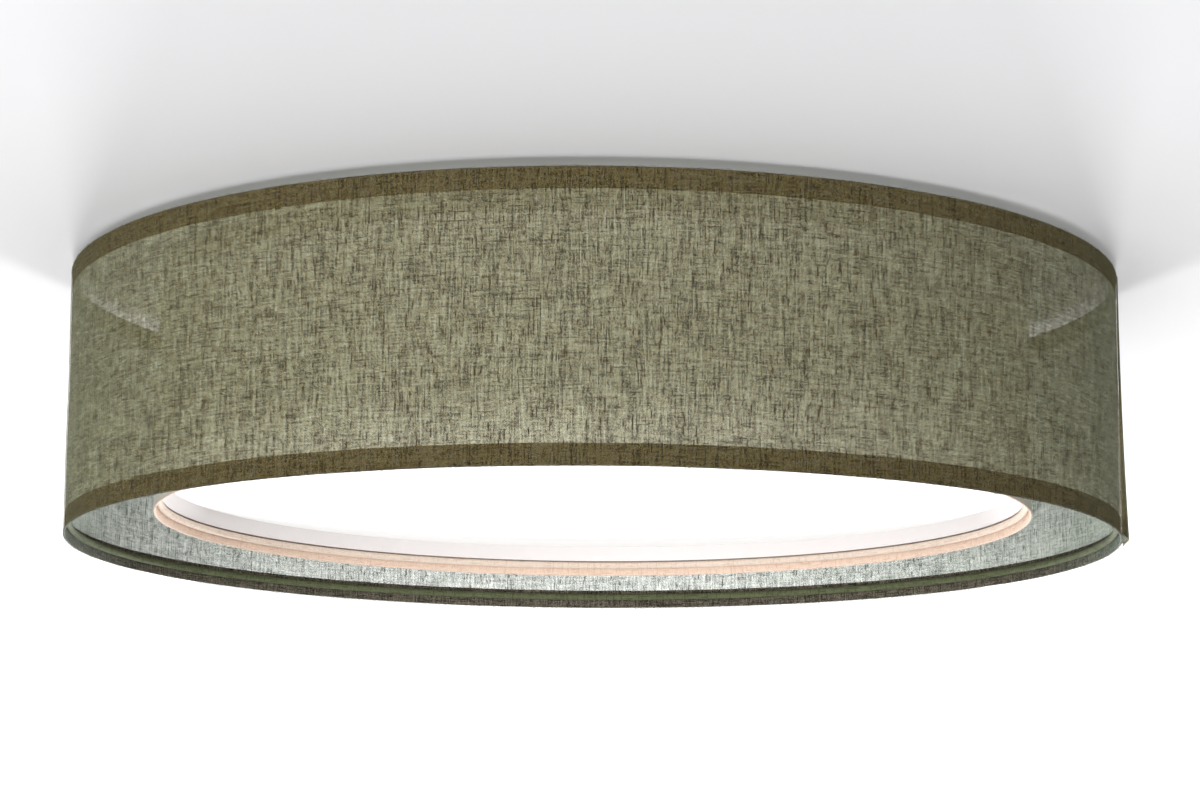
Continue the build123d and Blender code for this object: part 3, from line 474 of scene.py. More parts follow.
def lathe(work: bmesh.types.BMesh, outline: Outline, segments: int, reach: float,
          wobble: Callable[[float, int], tuple[float, float]] | None = None,
          lay: Sequence[float] | None = None) -> None:
    """Adds a closed outline turned about Z, with a UV map in metres.

    Args:
        work: The mesh that takes the faces.
        outline: (radius, height) of each corner, in order round the section.
        segments: Steps round the axis.
        reach: Radius that the UV map's X is measured at.
        wobble: Gives a (radius, height) shift for an angle and a corner.
        lay: The UV map's Y at each corner and once more at the end, where it isn't the
            length round the section.
    """
    layer = work.loops.layers.uv.verify()
    lengths = [0.0]
    for before, after in zip(outline, [*outline[1:], outline[0]]):
        lengths.append(lengths[-1] + math.dist(before, after))
    lengths = lay or lengths
    angles = [2 * math.pi * step / segments for step in range(segments + 1)]
    rings = []
    for angle in angles[:-1]:
        ring = []
        for corner, (radius, height) in enumerate(outline):
            out, up = wobble(angle, corner) if wobble else (0.0, 0.0)
            ring.append(work.verts.new(((radius + out) * math.cos(angle),
                                        (radius + out) * math.sin(angle), height + up)))
        rings.append(ring)
    for step in range(segments):
        near, far = rings[step], rings[(step + 1) % segments]
        for corner in range(len(outline)):
            following = (corner + 1) % len(outline)
            face = work.faces.new((near[corner], far[corner], far[following], near[following]))
            spots = ((step, corner), (step + 1, corner), (step + 1, corner + 1),
                     (step, corner + 1))
            for loop, (turn, place) in zip(face.loops, spots):
                loop[layer].uv = (angles[turn] * reach, lengths[place])


def strip_outline(line: Outline, thickness: float) -> list[tuple[float, float]]:
    """Returns the closed outline of a strip of cloth that follows a line in section."""
    sides: tuple[list[tuple[float, float]], list[tuple[float, float]]] = ([], [])
    for index, (radius, height) in enumerate(line):
        before = line[max(index - 1, 0)]
        after = line[min(index + 1, len(line) - 1)]
        run = Vector((after[0] - before[0], after[1] - before[1])).normalized()
        for side, sign in zip(sides, (0.5, -0.5)):
            side.append((radius - run.y * thickness * sign, height + run.x * thickness * sign))
    return sides[0] + sides[1][::-1]


def arc_line(centre: tuple[float, float], radius: float, first: float, last: float,
             steps: int) -> list[tuple[float, float]]:
    """Returns points of an arc in section, between two angles in degrees."""
    angles = [math.radians(first + (last - first) * k / steps) for k in range(steps + 1)]
    return [(centre[0] + radius * math.cos(angle), centre[1] + radius * math.sin(angle))
            for angle in angles]


def set_input(modifier: Modifier, label: str, value: Any) -> None:
    """Sets a geometry tree's named input on its modifier."""
    for item in modifier.node_group.interface.items_tree:
        if item.item_type == "SOCKET" and item.in_out == "INPUT" and item.name == label:
            modifier[item.identifier] = value


def grown(tree: NodeTree, name: str, base: Mesh, inputs: Mapping[str, Any],
          place: Matrix = Matrix.Identity(4)) -> Object:
    """Runs a geometry tree on a base mesh and keeps the result as a plain piece.

    Args:
        tree: The geometry tree.
        name: Name of the new piece.
        base: Mesh that the tree starts from.
        inputs: Value of each named input.
        place: Where the result goes in the light.

    Returns:
        The new piece, its place in its mesh.
    """
    holder = show(base, name + "_base")
    modifier = holder.modifiers.new("grow", "NODES")
    modifier.node_group = tree
    for label, value in inputs.items():
        set_input(modifier, label, value)
    seen = holder.evaluated_get(bpy.context.evaluated_depsgraph_get())
    mesh = bpy.data.meshes.new_from_object(seen)
    mesh.name = name
    mesh.transform(place)
    bpy.data.objects.remove(holder)
    bpy.data.meshes.remove(base)
    return show(mesh, name)


def path_mesh(points: Sequence[Point], closed: bool) -> Mesh:
    """Returns a mesh of edges through points, for a geometry tree to follow."""
    edges = [(k, k + 1) for k in range(len(points) - 1)]
    if closed:
        edges.append((len(points) - 1, 0))
    mesh = bpy.data.meshes.new("path")
    mesh.from_pydata(points, edges, [])
    return mesh


def circle_points(radius: float, height: float, count: int) -> list[Point]:
    """Returns points round a circle about Z."""
    return [(radius * math.cos(2 * math.pi * k / count), radius * math.sin(2 * math.pi * k / count),
             height) for k in range(count)]


# ------------------------------------------------------------------ geometry trees
def fringe_tree() -> NodeTree:
    """Returns the tree that lays loose yarn ends along a path."""
    wiring, takes, gives = open_group(
        "yarn_ends", "GeometryNodeTree",
        {"Path": (SHAPE, None), "Count": (WHOLE, 100), "Length": (VALUE, 2 * MM),
         "Thickness": (VALUE, 0.07 * MM), "Spread": (VALUE, 0.5), "Seed": (WHOLE, 1),
         "Material": (PAINT, None)}, {"Yarns": SHAPE})
    line = wiring.add("GeometryNodeMeshToCurve", {0: takes.outputs["Path"]})
    dots = wiring.add("GeometryNodeCurveToPoints", {0: line.outputs[0], 1: takes.outputs["Count"]},
                      mode="COUNT")
    length = takes.outputs["Length"]
    yarn = wiring.add("GeometryNodeCurveQuadraticBezier", {
        0: 4, 1: wiring.point(wiring.math("MULTIPLY", length, -0.5)),
        2: wiring.point(0.0, wiring.math("MULTIPLY", length, 0.25)),
        3: wiring.point(wiring.math("MULTIPLY", length, 0.5))})
    section = wiring.add("GeometryNodeCurvePrimitiveCircle", {0: 3, 4: takes.outputs["Thickness"]})
    thread = wiring.add("GeometryNodeCurveToMesh", {0: yarn.outputs[0], 1: section.outputs[0],
                                                    3: True})
    spread = takes.outputs["Spread"]
    back = wiring.math("MULTIPLY", spread, -1.0)
    turn = wiring.add("FunctionNodeRandomValue", {0: wiring.point(-3.0, back, back),
                                                  1: wiring.point(3.0, spread, spread),
                                                  8: takes.outputs["Seed"]},
                      data_type="FLOAT_VECTOR")
    along = wiring.add("FunctionNodeAlignRotationToVector", {2: dots.outputs["Tangent"]}, axis="X")
    euler = wiring.add("FunctionNodeEulerToRotation", {0: turn.outputs[0]})
    rotation = wiring.add("FunctionNodeRotateRotation", {0: along.outputs[0], 1: euler.outputs[0]},
                          rotation_space="LOCAL")
    size = wiring.add("FunctionNodeRandomValue", {2: 0.35, 3: 1.3,
                                                  8: wiring.math("ADD", takes.outputs["Seed"], 5)})
    laid = wiring.add("GeometryNodeInstanceOnPoints", {0: dots.outputs[0], 2: thread.outputs[0],
                                                       5: rotation.outputs[0],
                                                       6: size.outputs[1]})
    return close_tree(wiring, laid.outputs[0], takes, gives)


def close_tree(wiring: Wiring, shape: NodeSocket, takes: Node,
               gives: Node) -> NodeTree:
    """Ends a geometry tree with real, smooth meshes of one material."""
    real = wiring.add("GeometryNodeRealizeInstances", {0: shape})
    smooth = wiring.add("GeometryNodeSetShadeSmooth", {0: real.outputs[0]})
    painted = wiring.add("GeometryNodeSetMaterial", {0: smooth.outputs[0],
                                                     2: takes.outputs["Material"]})
    wiring.feed(gives.inputs[0], painted.outputs[0])
    return wiring.tree


def thread_tree() -> NodeTree:
    """Returns the tree that rolls a rope thread into a thin sleeve about Z."""
    wiring, takes, gives = open_group(
        "rope_thread", "GeometryNodeTree",
        {"Base": (SHAPE, None), "Radius": (VALUE, 13 * MM), "Depth": (VALUE, 1 * MM),
         "Pitch": (VALUE, 3.6 * MM), "Length": (VALUE, 20 * MM), "Plain End": (VALUE, 2 * MM),
         "Material": (PAINT, None)}, {"Sleeve": SHAPE})
    length = takes.outputs["Length"]
    sleeve = wiring.add("GeometryNodeMeshCylinder", {0: 64, 1: 72, 3: takes.outputs["Radius"],
                                                     4: length}, fill_type="NONE")
    place = wiring.add("GeometryNodeInputPosition").outputs[0]
    parts = wiring.add("ShaderNodeSeparateXYZ", {0: place})
    turn = wiring.math("DIVIDE", wiring.math("ARCTAN2", parts.outputs[1], parts.outputs[0]),
                       2 * math.pi)
    climb = wiring.math("DIVIDE", parts.outputs[2], takes.outputs["Pitch"])
    phase = wiring.math("MULTIPLY", wiring.math("SUBTRACT", climb, turn), 2 * math.pi)
    wave = wiring.math("MULTIPLY_ADD", wiring.math("COSINE", phase), 0.5, -0.5)
    half = wiring.math("MULTIPLY", length, 0.5)
    margin = wiring.math("SUBTRACT", half, wiring.math("ABSOLUTE", parts.outputs[2]))
    fade = wiring.math("DIVIDE", margin, takes.outputs["Plain End"], clamp=True)
    sink = wiring.math("MULTIPLY", wiring.math("MULTIPLY", wave, takes.outputs["Depth"]), fade)
    share = wiring.math("DIVIDE", sink, takes.outputs["Radius"])
    shift = wiring.point(wiring.math("MULTIPLY", parts.outputs[0], share),
                         wiring.math("MULTIPLY", parts.outputs[1], share), 0.0)
    rolled = wiring.add("GeometryNodeSetPosition", {0: sleeve.outputs[0], 3: shift})
    return close_tree(wiring, rolled.outputs[0], takes, gives)


def rib_tree() -> NodeTree:
    """Returns the tree that stands round ribs in a ring about Z."""
    wiring, takes, gives = open_group(
        "ring_of_ribs", "GeometryNodeTree",
        {"Base": (SHAPE, None), "Count": (WHOLE, 24), "Ring Radius": (VALUE, 20 * MM),
         "Rib Radius": (VALUE, 0.6 * MM), "Length": (VALUE, 20 * MM),
         "Material": (PAINT, None)}, {"Ribs": SHAPE})
    ring = wiring.add("GeometryNodeMeshCircle", {0: takes.outputs["Count"],
                                                 1: takes.outputs["Ring Radius"]})
    half = wiring.math("MULTIPLY", takes.outputs["Length"], 0.5)
    ends = [wiring.point(0.0, 0.0, wiring.math("MULTIPLY", half, sign)) for sign in (-1.0, 1.0)]
    line = wiring.add("GeometryNodeCurvePrimitiveLine", {0: ends[0], 1: ends[1]})
    section = wiring.add("GeometryNodeCurvePrimitiveCircle", {0: 8, 4: takes.outputs["Rib Radius"]})
    rib = wiring.add("GeometryNodeCurveToMesh", {0: line.outputs[0], 1: section.outputs[0],
                                                 3: True})
    stood = wiring.add("GeometryNodeInstanceOnPoints", {0: ring.outputs[0], 2: rib.outputs[0]})
    return close_tree(wiring, stood.outputs[0], takes, gives)


def weld_tree() -> NodeTree:
    """Returns the tree that puts a small uneven weld bead on every point."""
    wiring, takes, gives = open_group(
        "weld_beads", "GeometryNodeTree",
        {"Places": (SHAPE, None), "Radius": (VALUE, 2 * MM), "Seed": (WHOLE, 1),
         "Material": (PAINT, None)}, {"Welds": SHAPE})
    ball = wiring.add("GeometryNodeMeshIcoSphere", {0: takes.outputs["Radius"], 1: 3})
    place = wiring.add("GeometryNodeInputPosition").outputs[0]
    lump = wiring.noise(place, 900.0, 1.0)
    push = wiring.math("MULTIPLY_ADD", lump, 0.5, -0.25)
    shift = wiring.add("ShaderNodeVectorMath", {0: place, "Scale": push}, operation="SCALE")
    bead = wiring.add("GeometryNodeSetPosition", {0: ball.outputs[0], 3: shift.outputs[0]})
    size = wiring.add("FunctionNodeRandomValue", {0: (0.8, 0.8, 0.6), 1: (1.1, 1.1, 0.8),
                                                  8: takes.outputs["Seed"]},
                      data_type="FLOAT_VECTOR")
    laid = wiring.add("GeometryNodeInstanceOnPoints", {0: takes.outputs["Places"],
                                                       2: bead.outputs[0], 6: size.outputs[0]})
    return close_tree(wiring, laid.outputs[0], takes, gives)


# ------------------------------------------------------------------ riding and dressing
class Body(Enum):
    """The bodies that the pieces ride on."""

    BASE = "ceiling_base"
    SHADE = "shade"


def dress_node(node: str, finish: Finish) -> None:
    """Gives a CAD node its finish."""
    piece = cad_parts[node]
    if not piece.material_slots:
        piece.data.materials.append(finish.material())
    for slot in piece.material_slots:
        slot.material = finish.material()


def seat(piece: Object, body: str, slot: str, *nodes: str) -> Object:
    """Rides a piece on its body, hides the CAD nodes it stands for and logs them.

    Args:
        piece: The finished piece.
        body: Name of the body.
        slot: The record's material slot; not used.
        nodes: CAD nodes that it stands for.

    Returns:
        The same piece.
    """
    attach(piece, body)
    if nodes:
        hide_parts(*nodes)
    LOG.info("%s rides on %s and stands for %s", piece.name, body, ", ".join(nodes) or "nothing")
    return piece


# ------------------------------------------------------------------ the cloth drums
@dataclass
class ClothDrum:
    """One drum shade: its laminated wall, turned hems, overlapped seam and loose yarn ends."""

    prefix: str
    outside: ClothFinish
    inside: ClothFinish
    hem: ClothFinish
    hem_back: ClothFinish
    bead: ClothFinish
    lap: ClothFinish
    fibre: HardFinish
    slot: str
    yarn_ends: int
    cloth: float = 0.5 * MM
    laminate: float = 0.85 * MM
    fold_radius: float = 0.45 * MM
    seam_lift: float = 0.35 * MM
    seam_flare: float = 0.3 * MM    # how far the wall stands out at the seam's foot
    flare_reach: float = 0.045      # angle from the seam over which it stands out
    hem_reach: float = 0.4 * MM     # how far the turned cloth goes on past the hem's size
    lap_start: float = 6.0 * MM     # from the seam's middle back to the lap's fixed edge
    lap_width: float = 12.0 * MM
    lap_drop: float = 0.3 * MM      # how far the lap's loose corner hangs below the rim
    segments: int = 288
    seam_turn: float = field(init=False)
    radius: float = field(init=False)
    top: float = field(init=False)
    bottom: float = field(init=False)

    def __post_init__(self) -> None:
        """Reads the drum's sizes from the frame."""
        self.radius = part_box(f"{self.prefix}_cloth")[1].y
        self.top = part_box(f"{self.prefix}_hem_top")[1].z
        self.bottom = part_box(f"{self.prefix}_hem_bottom")[0].z
        low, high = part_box(f"{self.prefix}_seam")
        self.seam_turn = math.atan2(low.y + high.y, low.x + high.x)

    def flare(self, angle: float, height: float) -> float:
        """Returns how far the wall stands out beside the seam, most at its foot."""
        apart = (angle - self.seam_turn + math.pi) % (2 * math.pi) - math.pi
        share = (height - self.bottom) / (self.top - self.bottom)
        return self.seam_flare * math.exp(-(apart / self.flare_reach) ** 2) * (1 - share) ** 2

    def wave(self, angle: float, seed: float) -> float:
        """Returns a slow unevenness round the drum, from -1 to 1."""
        where = Vector((math.cos(angle) * 2.2, math.sin(angle) * 2.2, seed))
        return noise.noise(where) * 2

    def wall(self) -> Object:
        """Builds the wall: cloth outside, film inside."""
        fold = self.cloth * 1.1
        low, high = self.bottom + fold, self.top - fold
        inner = self.radius - self.laminate
        steps = 12
        heights = [low + (high - low) * k / steps for k in range(steps + 1)]
        outline = [(self.radius, z) for z in heights] + [(inner, z) for z in reversed(heights)]

        def belly(angle: float, corner: int) -> tuple[float, float]:
            """Sinks the wall a little between its rims and swells it at the seam's foot."""
            share = corner if corner <= steps else 2 * steps + 1 - corner
            sunk = 0.25 * MM * (1 + self.wave(angle, share * 0.35))
            sunk *= math.sin(math.pi * share / steps)
            return (self.flare(angle, heights[share]) - sunk, 0.0)

        work = bmesh.new()
        lay = [height for _, height in outline]
        lathe(work, outline, self.segments, self.radius, wobble=belly, lay=[*lay, lay[0]])
        middle = self.radius - self.laminate / 2
        piece = finish_mesh(work, f"{self.prefix}_wall", self.outside, math.radians(60))
        # Faces inside the wall take the inside finish; on the outer drum that finish is the pale
        # mint painted light.
        piece.data.materials.append(self.inside.material())
        for face in piece.data.polygons:
            spot = face.center
            if math.hypot(spot.x, spot.y) < middle - 0.2 * MM:
                face.material_index = 1
        return piece

    def hem_piece(self, up: int) -> Object:
        """Builds one hem: folded over the rim, down inside and round the ring wire.

        Args:
            up: 1 for the top hem, -1 for the bottom one.

        Returns:
            The hem as one piece.
        """
        end, end_name = ENDS[up]
        low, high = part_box(f"{self.prefix}_hem_{end}")
        wire_low, wire_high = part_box(f"{self.prefix}_ring_{end}")
        rim = high.z if up > 0 else low.z
        deep = high.z - low.z
        outer = self.radius - self.cloth / 2
        inner = self.radius - self.laminate - 0.1 * MM
        bend = self.fold_radius
        line = [(outer, rim - up * 1.6 * self.cloth)]
        for centre, first in ((outer - bend, 0), (inner + bend, 90)):
            line += [(x, rim - up * (self.cloth / 2 + bend) + up * y) for x, y in
                     arc_line((centre, 0.0), bend, first, first + 90, 4)]
        line += [(inner, rim - up * (deep * share)) for share in (0.3, 0.5, 0.7, 0.9)]
        line.append((inner, rim - up * (deep + self.hem_reach)))

        def ripple(angle: float, corner: int) -> tuple[float, float]:
            """Moves the fold with the wall and makes the rim slightly uneven."""
            place = min(corner, 2 * len(line) - 1 - corner)
            out = self.flare(angle, rim) * max(0.0, 1 - place / 10)
            if place < 9:
                return (out, 0.08 * MM * self.wave(angle * 3, up))
            return (out + 0.03 * MM * self.wave(angle * 2, 7.0 + corner), 0.0)

        work = bmesh.new()
        lathe(work, strip_outline(line, self.cloth), self.segments, self.radius, wobble=ripple)
        wire = (wire_high.z - wire_low.z) / 2
        ring = wire_high.y - wire
        round_wire = arc_line((ring, (wire_low.z + wire_high.z) / 2), wire + self.cloth, 0, 345, 23)

        def snug(angle: float, corner: int) -> tuple[float, float]:
            """Makes the cloth round the ring wire slightly uneven."""
            share = 0.06 * MM * self.wave(angle * 5, corner * 0.2)
            return (share, share)

        lathe(work, round_wire, self.segments, self.radius, wobble=snug)
        piece = finish_mesh(work, f"{self.prefix}_hem_{end_name}", self.hem)
        piece.data.materials.append(self.bead.material())
        piece.data.materials.append(self.hem_back.material())
        flap = 2 * len(line) * self.segments
        for face in piece.data.polygons[flap:]:
            face.material_index = 1
        # Flap faces on the inside of the drum take the hem_back finish; on the outer drum that
        # finish is dark slate painted shade.
        for face in piece.data.polygons[:flap]:
            reach = math.hypot(face.center.x, face.center.y)
            past_fold = abs(face.center.z - rim) > 1.6 * self.cloth
            if past_fold and inner < reach < self.radius - 0.6 * self.cloth:
                face.material_index = 2
        return piece

    def seam_lap(self) -> Object:
        """Builds the lap where the cloth's two ends meet, its free edge standing away below."""
        width = self.lap_width
        columns, rows = 10, 40
        work = bmesh.new()
        layer = work.loops.layers.uv.verify()
        grid = {}
        for side in (0, 1):
            for row in range(rows + 1):
                share = row / rows
                for column in range(columns + 1):
                    across = column / columns
                    lift = self.seam_lift * max(0.0, (across - 0.5) * 2)
                    lift *= 1 + 0.4 * noise.noise(Vector((share * 9, side * 0.01, 2.5)))
                    edge = 0.35 * MM * noise.noise(Vector((share * 40, 1.0, 0.0)))
                    edge *= max(0.0, across - 0.8) * 5
                    angle = self.seam_turn + (across * width - self.lap_start + edge) / self.radius
                    height = self.bottom + (self.top - self.bottom) * share
                    skin = 0.05 * MM + side * self.cloth * min(1.0, across * 5 + 0.02)
                    radius = self.radius + self.flare(angle, height) + skin + lift
                    height -= self.lap_drop * across ** 2 * max(0.0, 1 - row / 2)
                    grid[side, row, column] = work.verts.new(
                        (radius * math.cos(angle), radius * math.sin(angle), height))

        def quad(*corners: tuple[int, int, int]) -> None:
            """Adds a face between four corners of the grid."""
            face = work.faces.new([grid[corner] for corner in corners])
            for loop, (_, row, column) in zip(face.loops, corners):
                loop[layer].uv = (column / columns * width,
                                  row / rows * (self.top - self.bottom))

        for row in range(rows):
            for column in range(columns):
                for side in (0, 1):
                    quad((side, row, column), (side, row, column + 1),
                         (side, row + 1, column + 1), (side, row + 1, column))
            for column in (0, columns):
                quad((0, row, column), (0, row + 1, column), (1, row + 1, column),
                     (1, row, column))
        for column in range(columns):
            for row in (0, rows):
                quad((0, row, column), (0, row, column + 1), (1, row, column + 1),
                     (1, row, column))
        return finish_mesh(work, f"{self.prefix}_seam_lap", self.lap)

    def loose_yarns(self, tree: NodeTree, up: int) -> Object:
        """Builds the yarn ends that fray along a rim."""
        height = (self.top if up > 0 else self.bottom) + up * 0.05 * MM
        name = f"{self.prefix}_yarn_ends_{ENDS[up][1]}"
        path = path_mesh(circle_points(self.radius - 0.1 * MM, height, 240), True)
        return grown(tree, name, path, {"Count": self.yarn_ends, "Length": 2.6 * MM,
                                        "Thickness": 0.09 * MM, "Spread": 0.3,
                                        "Seed": 11 + up, "Material": self.fibre.material()})

    def build(self, fringe: NodeTree) -> None:
        """Builds every piece of the drum and seats it on the shade."""
        body = Body.SHADE.value
        wall = seat(self.wall(), body, self.slot, f"{self.prefix}_cloth", f"{self.prefix}_liner")
        hems = [seat(self.hem_piece(up), body, self.slot, f"{self.prefix}_hem_{end}")
                for up, (end, _) in ENDS.items()]
        lap = seat(self.seam_lap(), body, self.slot, f"{self.prefix}_seam")
        yarns = [seat(self.loose_yarns(fringe, up), body, self.slot) for up in ENDS]
        for end, _ in ENDS.values():
            dress_node(f"{self.prefix}_ring_{end}", WIRE_COAT)


# ------------------------------------------------------------------ carrier and diffuser
@dataclass
class ShadeCarrier:
    """Wire arms and hub that hang both drums, with the welds that join them."""

    weld_radius: float = 2.0 * MM

    def weld_places(self) -> list[Point]:
        """Returns where an arm meets each ring wire and the hub."""
        places = []
        outer_low, outer_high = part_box("outer_ring_top")
        inner_low, inner_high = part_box("inner_ring_top")
        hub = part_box("fitter_hub")[1]
        wire = (outer_high.z - outer_low.z) / 2
        for number in (1, 2, 3):
            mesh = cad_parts[f"spider_arm_{number}"].data
            far = max(mesh.vertices, key=lambda vertex: vertex.co.xy.length).co
            turn = math.atan2(far.y, far.x)
            for reach, height in ((outer_high.y - wire, outer_low.z),
                                  (inner_high.y - wire, inner_high.z),
                                  (hub.y - 3 * MM, hub.z + 0.5 * MM)):
                places.append((reach * math.cos(turn), reach * math.sin(turn), height))
        return places

    def build(self) -> None:
        """Dresses the arms and hub and adds the weld beads."""
        for node in ("fitter_hub", "spider_arm_1", "spider_arm_2", "spider_arm_3"):
            dress_node(node, WHITE_ENAMEL)
        welds = grown(weld_tree(), "carrier_welds", path_mesh(self.weld_places(), False),
                      {"Radius": self.weld_radius, "Seed": 4,
                       "Material": WHITE_ENAMEL.material()})
        seat(welds, Body.SHADE.value, "white_enamel")


# ------------------------------------------------------------------ lamps
@dataclass
class Lamp:
    """One bulb in its lampholder, lying outwards from the canopy."""

    number: int
    thread: NodeTree
    ribs: NodeTree
    cap_depth: float = 0.9 * MM
    pitch: float = 3.6 * MM
    rib_count: int = 28
    rib_radius: float = 0.7 * MM
    rib_share: float = 0.55     # share of the lampholder's length that the ribs take up
    rib_start: float = 1.2 * MM

    def axis_place(self, node: str) -> tuple[Matrix, float, float]:
        """Returns the place of a node's middle along the lamp, its length and its radius."""
        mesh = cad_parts[node].data
        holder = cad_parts[f"holder_body_{self.number}"].data
        centre = sum((Vector(v.co) for v in holder.vertices), Vector()) / len(holder.vertices)
        turn = math.atan2(centre.y, centre.x)
        out = Vector((math.cos(turn), math.sin(turn), 0.0))
        spans = [Vector(vertex.co).dot(out) for vertex in mesh.vertices]
        low, high = min(spans), max(spans)
        box_low, box_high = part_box(node)
        height = (box_low.z + box_high.z) / 2
        place = Matrix.Translation(out * (low + high) / 2 + Vector((0, 0, height)))
        place = place @ out.to_track_quat("Z", "Y").to_matrix().to_4x4()
        return place, high - low, (box_high.z - box_low.z) / 2

    def cap(self) -> Object:
        """Builds the threaded screw cap with its insulator and end contact."""
        place, length, radius = self.axis_place(f"bulb_cap_{self.number}")
        tip = 2.0 * MM
        sleeve = length - tip
        shell = grown(self.thread, f"screw_cap_{self.number}", bpy.data.meshes.new("seed"),
                      {"Radius": radius, "Depth": self.cap_depth, "Pitch": self.pitch,
                       "Length": sleeve, "Plain End": 2.5 * MM,
                       "Material": CAP_METAL.material()},
                      place @ Matrix.Translation((0, 0, tip / 2)))
        work = bmesh.new()
        start = -length / 2
        pin, around = 0.1 * MM, 32      # radius left at the axis, and steps round the contact
        end = [(pin, start), (4.0 * MM, start), (4.5 * MM, start + 0.5 * MM),
               (4.5 * MM, start + 1.0 * MM), (pin, start + 1.0 * MM)]
        lathe(work, end, around, radius)
        insulator = [(pin, start + 1.0 * MM), (5.0 * MM, start + 1.0 * MM),
                     (radius - 0.5 * MM, start + tip), (radius, start + tip + 0.5 * MM),
                     (pin, start + tip + 0.5 * MM)]
        lathe(work, insulator, 48, radius)
        contact = finish_mesh(work, f"cap_contact_{self.number}", CAP_METAL)
        contact.data.materials.append(CAP_INSULATOR.material())
        for face in contact.data.polygons[len(end) * around:]:
            face.material_index = 1
        contact.data.transform(place)
        seat(contact, f"bulb_{self.number}", "cap_metal")
        return shell

    def grips(self) -> Object:
        """Builds the ribs round the lampholder's wide end."""
        place, length, radius = self.axis_place(f"holder_body_{self.number}")
        rib_length = length * self.rib_share
        return grown(self.ribs, f"holder_grips_{self.number}", bpy.data.meshes.new("seed"),
                     {"Count": self.rib_count, "Ring Radius": radius - 0.15 * MM,
                      "Rib Radius": self.rib_radius, "Length": rib_length,
                      "Material": HOLDER_WHITE.material()},
                     place @ Matrix.Translation(
                         (0, 0, length / 2 - rib_length / 2 - self.rib_start)))

    def build(self) -> None:
        """Builds and dresses the lamp."""
        number = self.number
        seat(self.cap(), f"bulb_{number}", "cap_metal", f"bulb_cap_{number}")
        seat(self.grips(), Body.BASE.value, "holder_moulding")
        for part, finish in (("bulb_housing", BULB_WHITE), ("bulb_globe", OPAL_GLOBE),
                             ("holder_body", HOLDER_WHITE), ("holder_sleeve", PLAIN_BRASS),
                             ("holder_plate", WHITE_ENAMEL), ("lamp_lead", LEAD_SHEATH)):
            dress_node(f"{part}_{number}", finish)


HARDWARE: dict[str, Finish] = {
    "ceiling_bracket": ZINC_PLATE, "bracket_studs": ZINC_PLATE, "earth_screw": ZINC_PLATE,
    "stem": ZINC_PLATE, "stem_nuts": ZINC_PLATE, "bracket_rivets": ZINC_PLATE,
    "terminal_screws": ZINC_PLATE, "holder_nipples": ZINC_PLATE, "canopy": WHITE_ENAMEL,
    "shade_nut": BRIGHT_NICKEL, "cap_nut_1": BRIGHT_NICKEL, "cap_nut_2": BRIGHT_NICKEL,
    "terminal_block": NATURAL_NYLON, "terminal_inserts": PLAIN_BRASS,
    "holder_contacts": PLAIN_BRASS, "lead_grommets": GREY_RUBBER, "ledge_ring": WHITE_LEDGE,
    "diffuser_disc": OPAL_DISC_SHADE_TINTED,
}


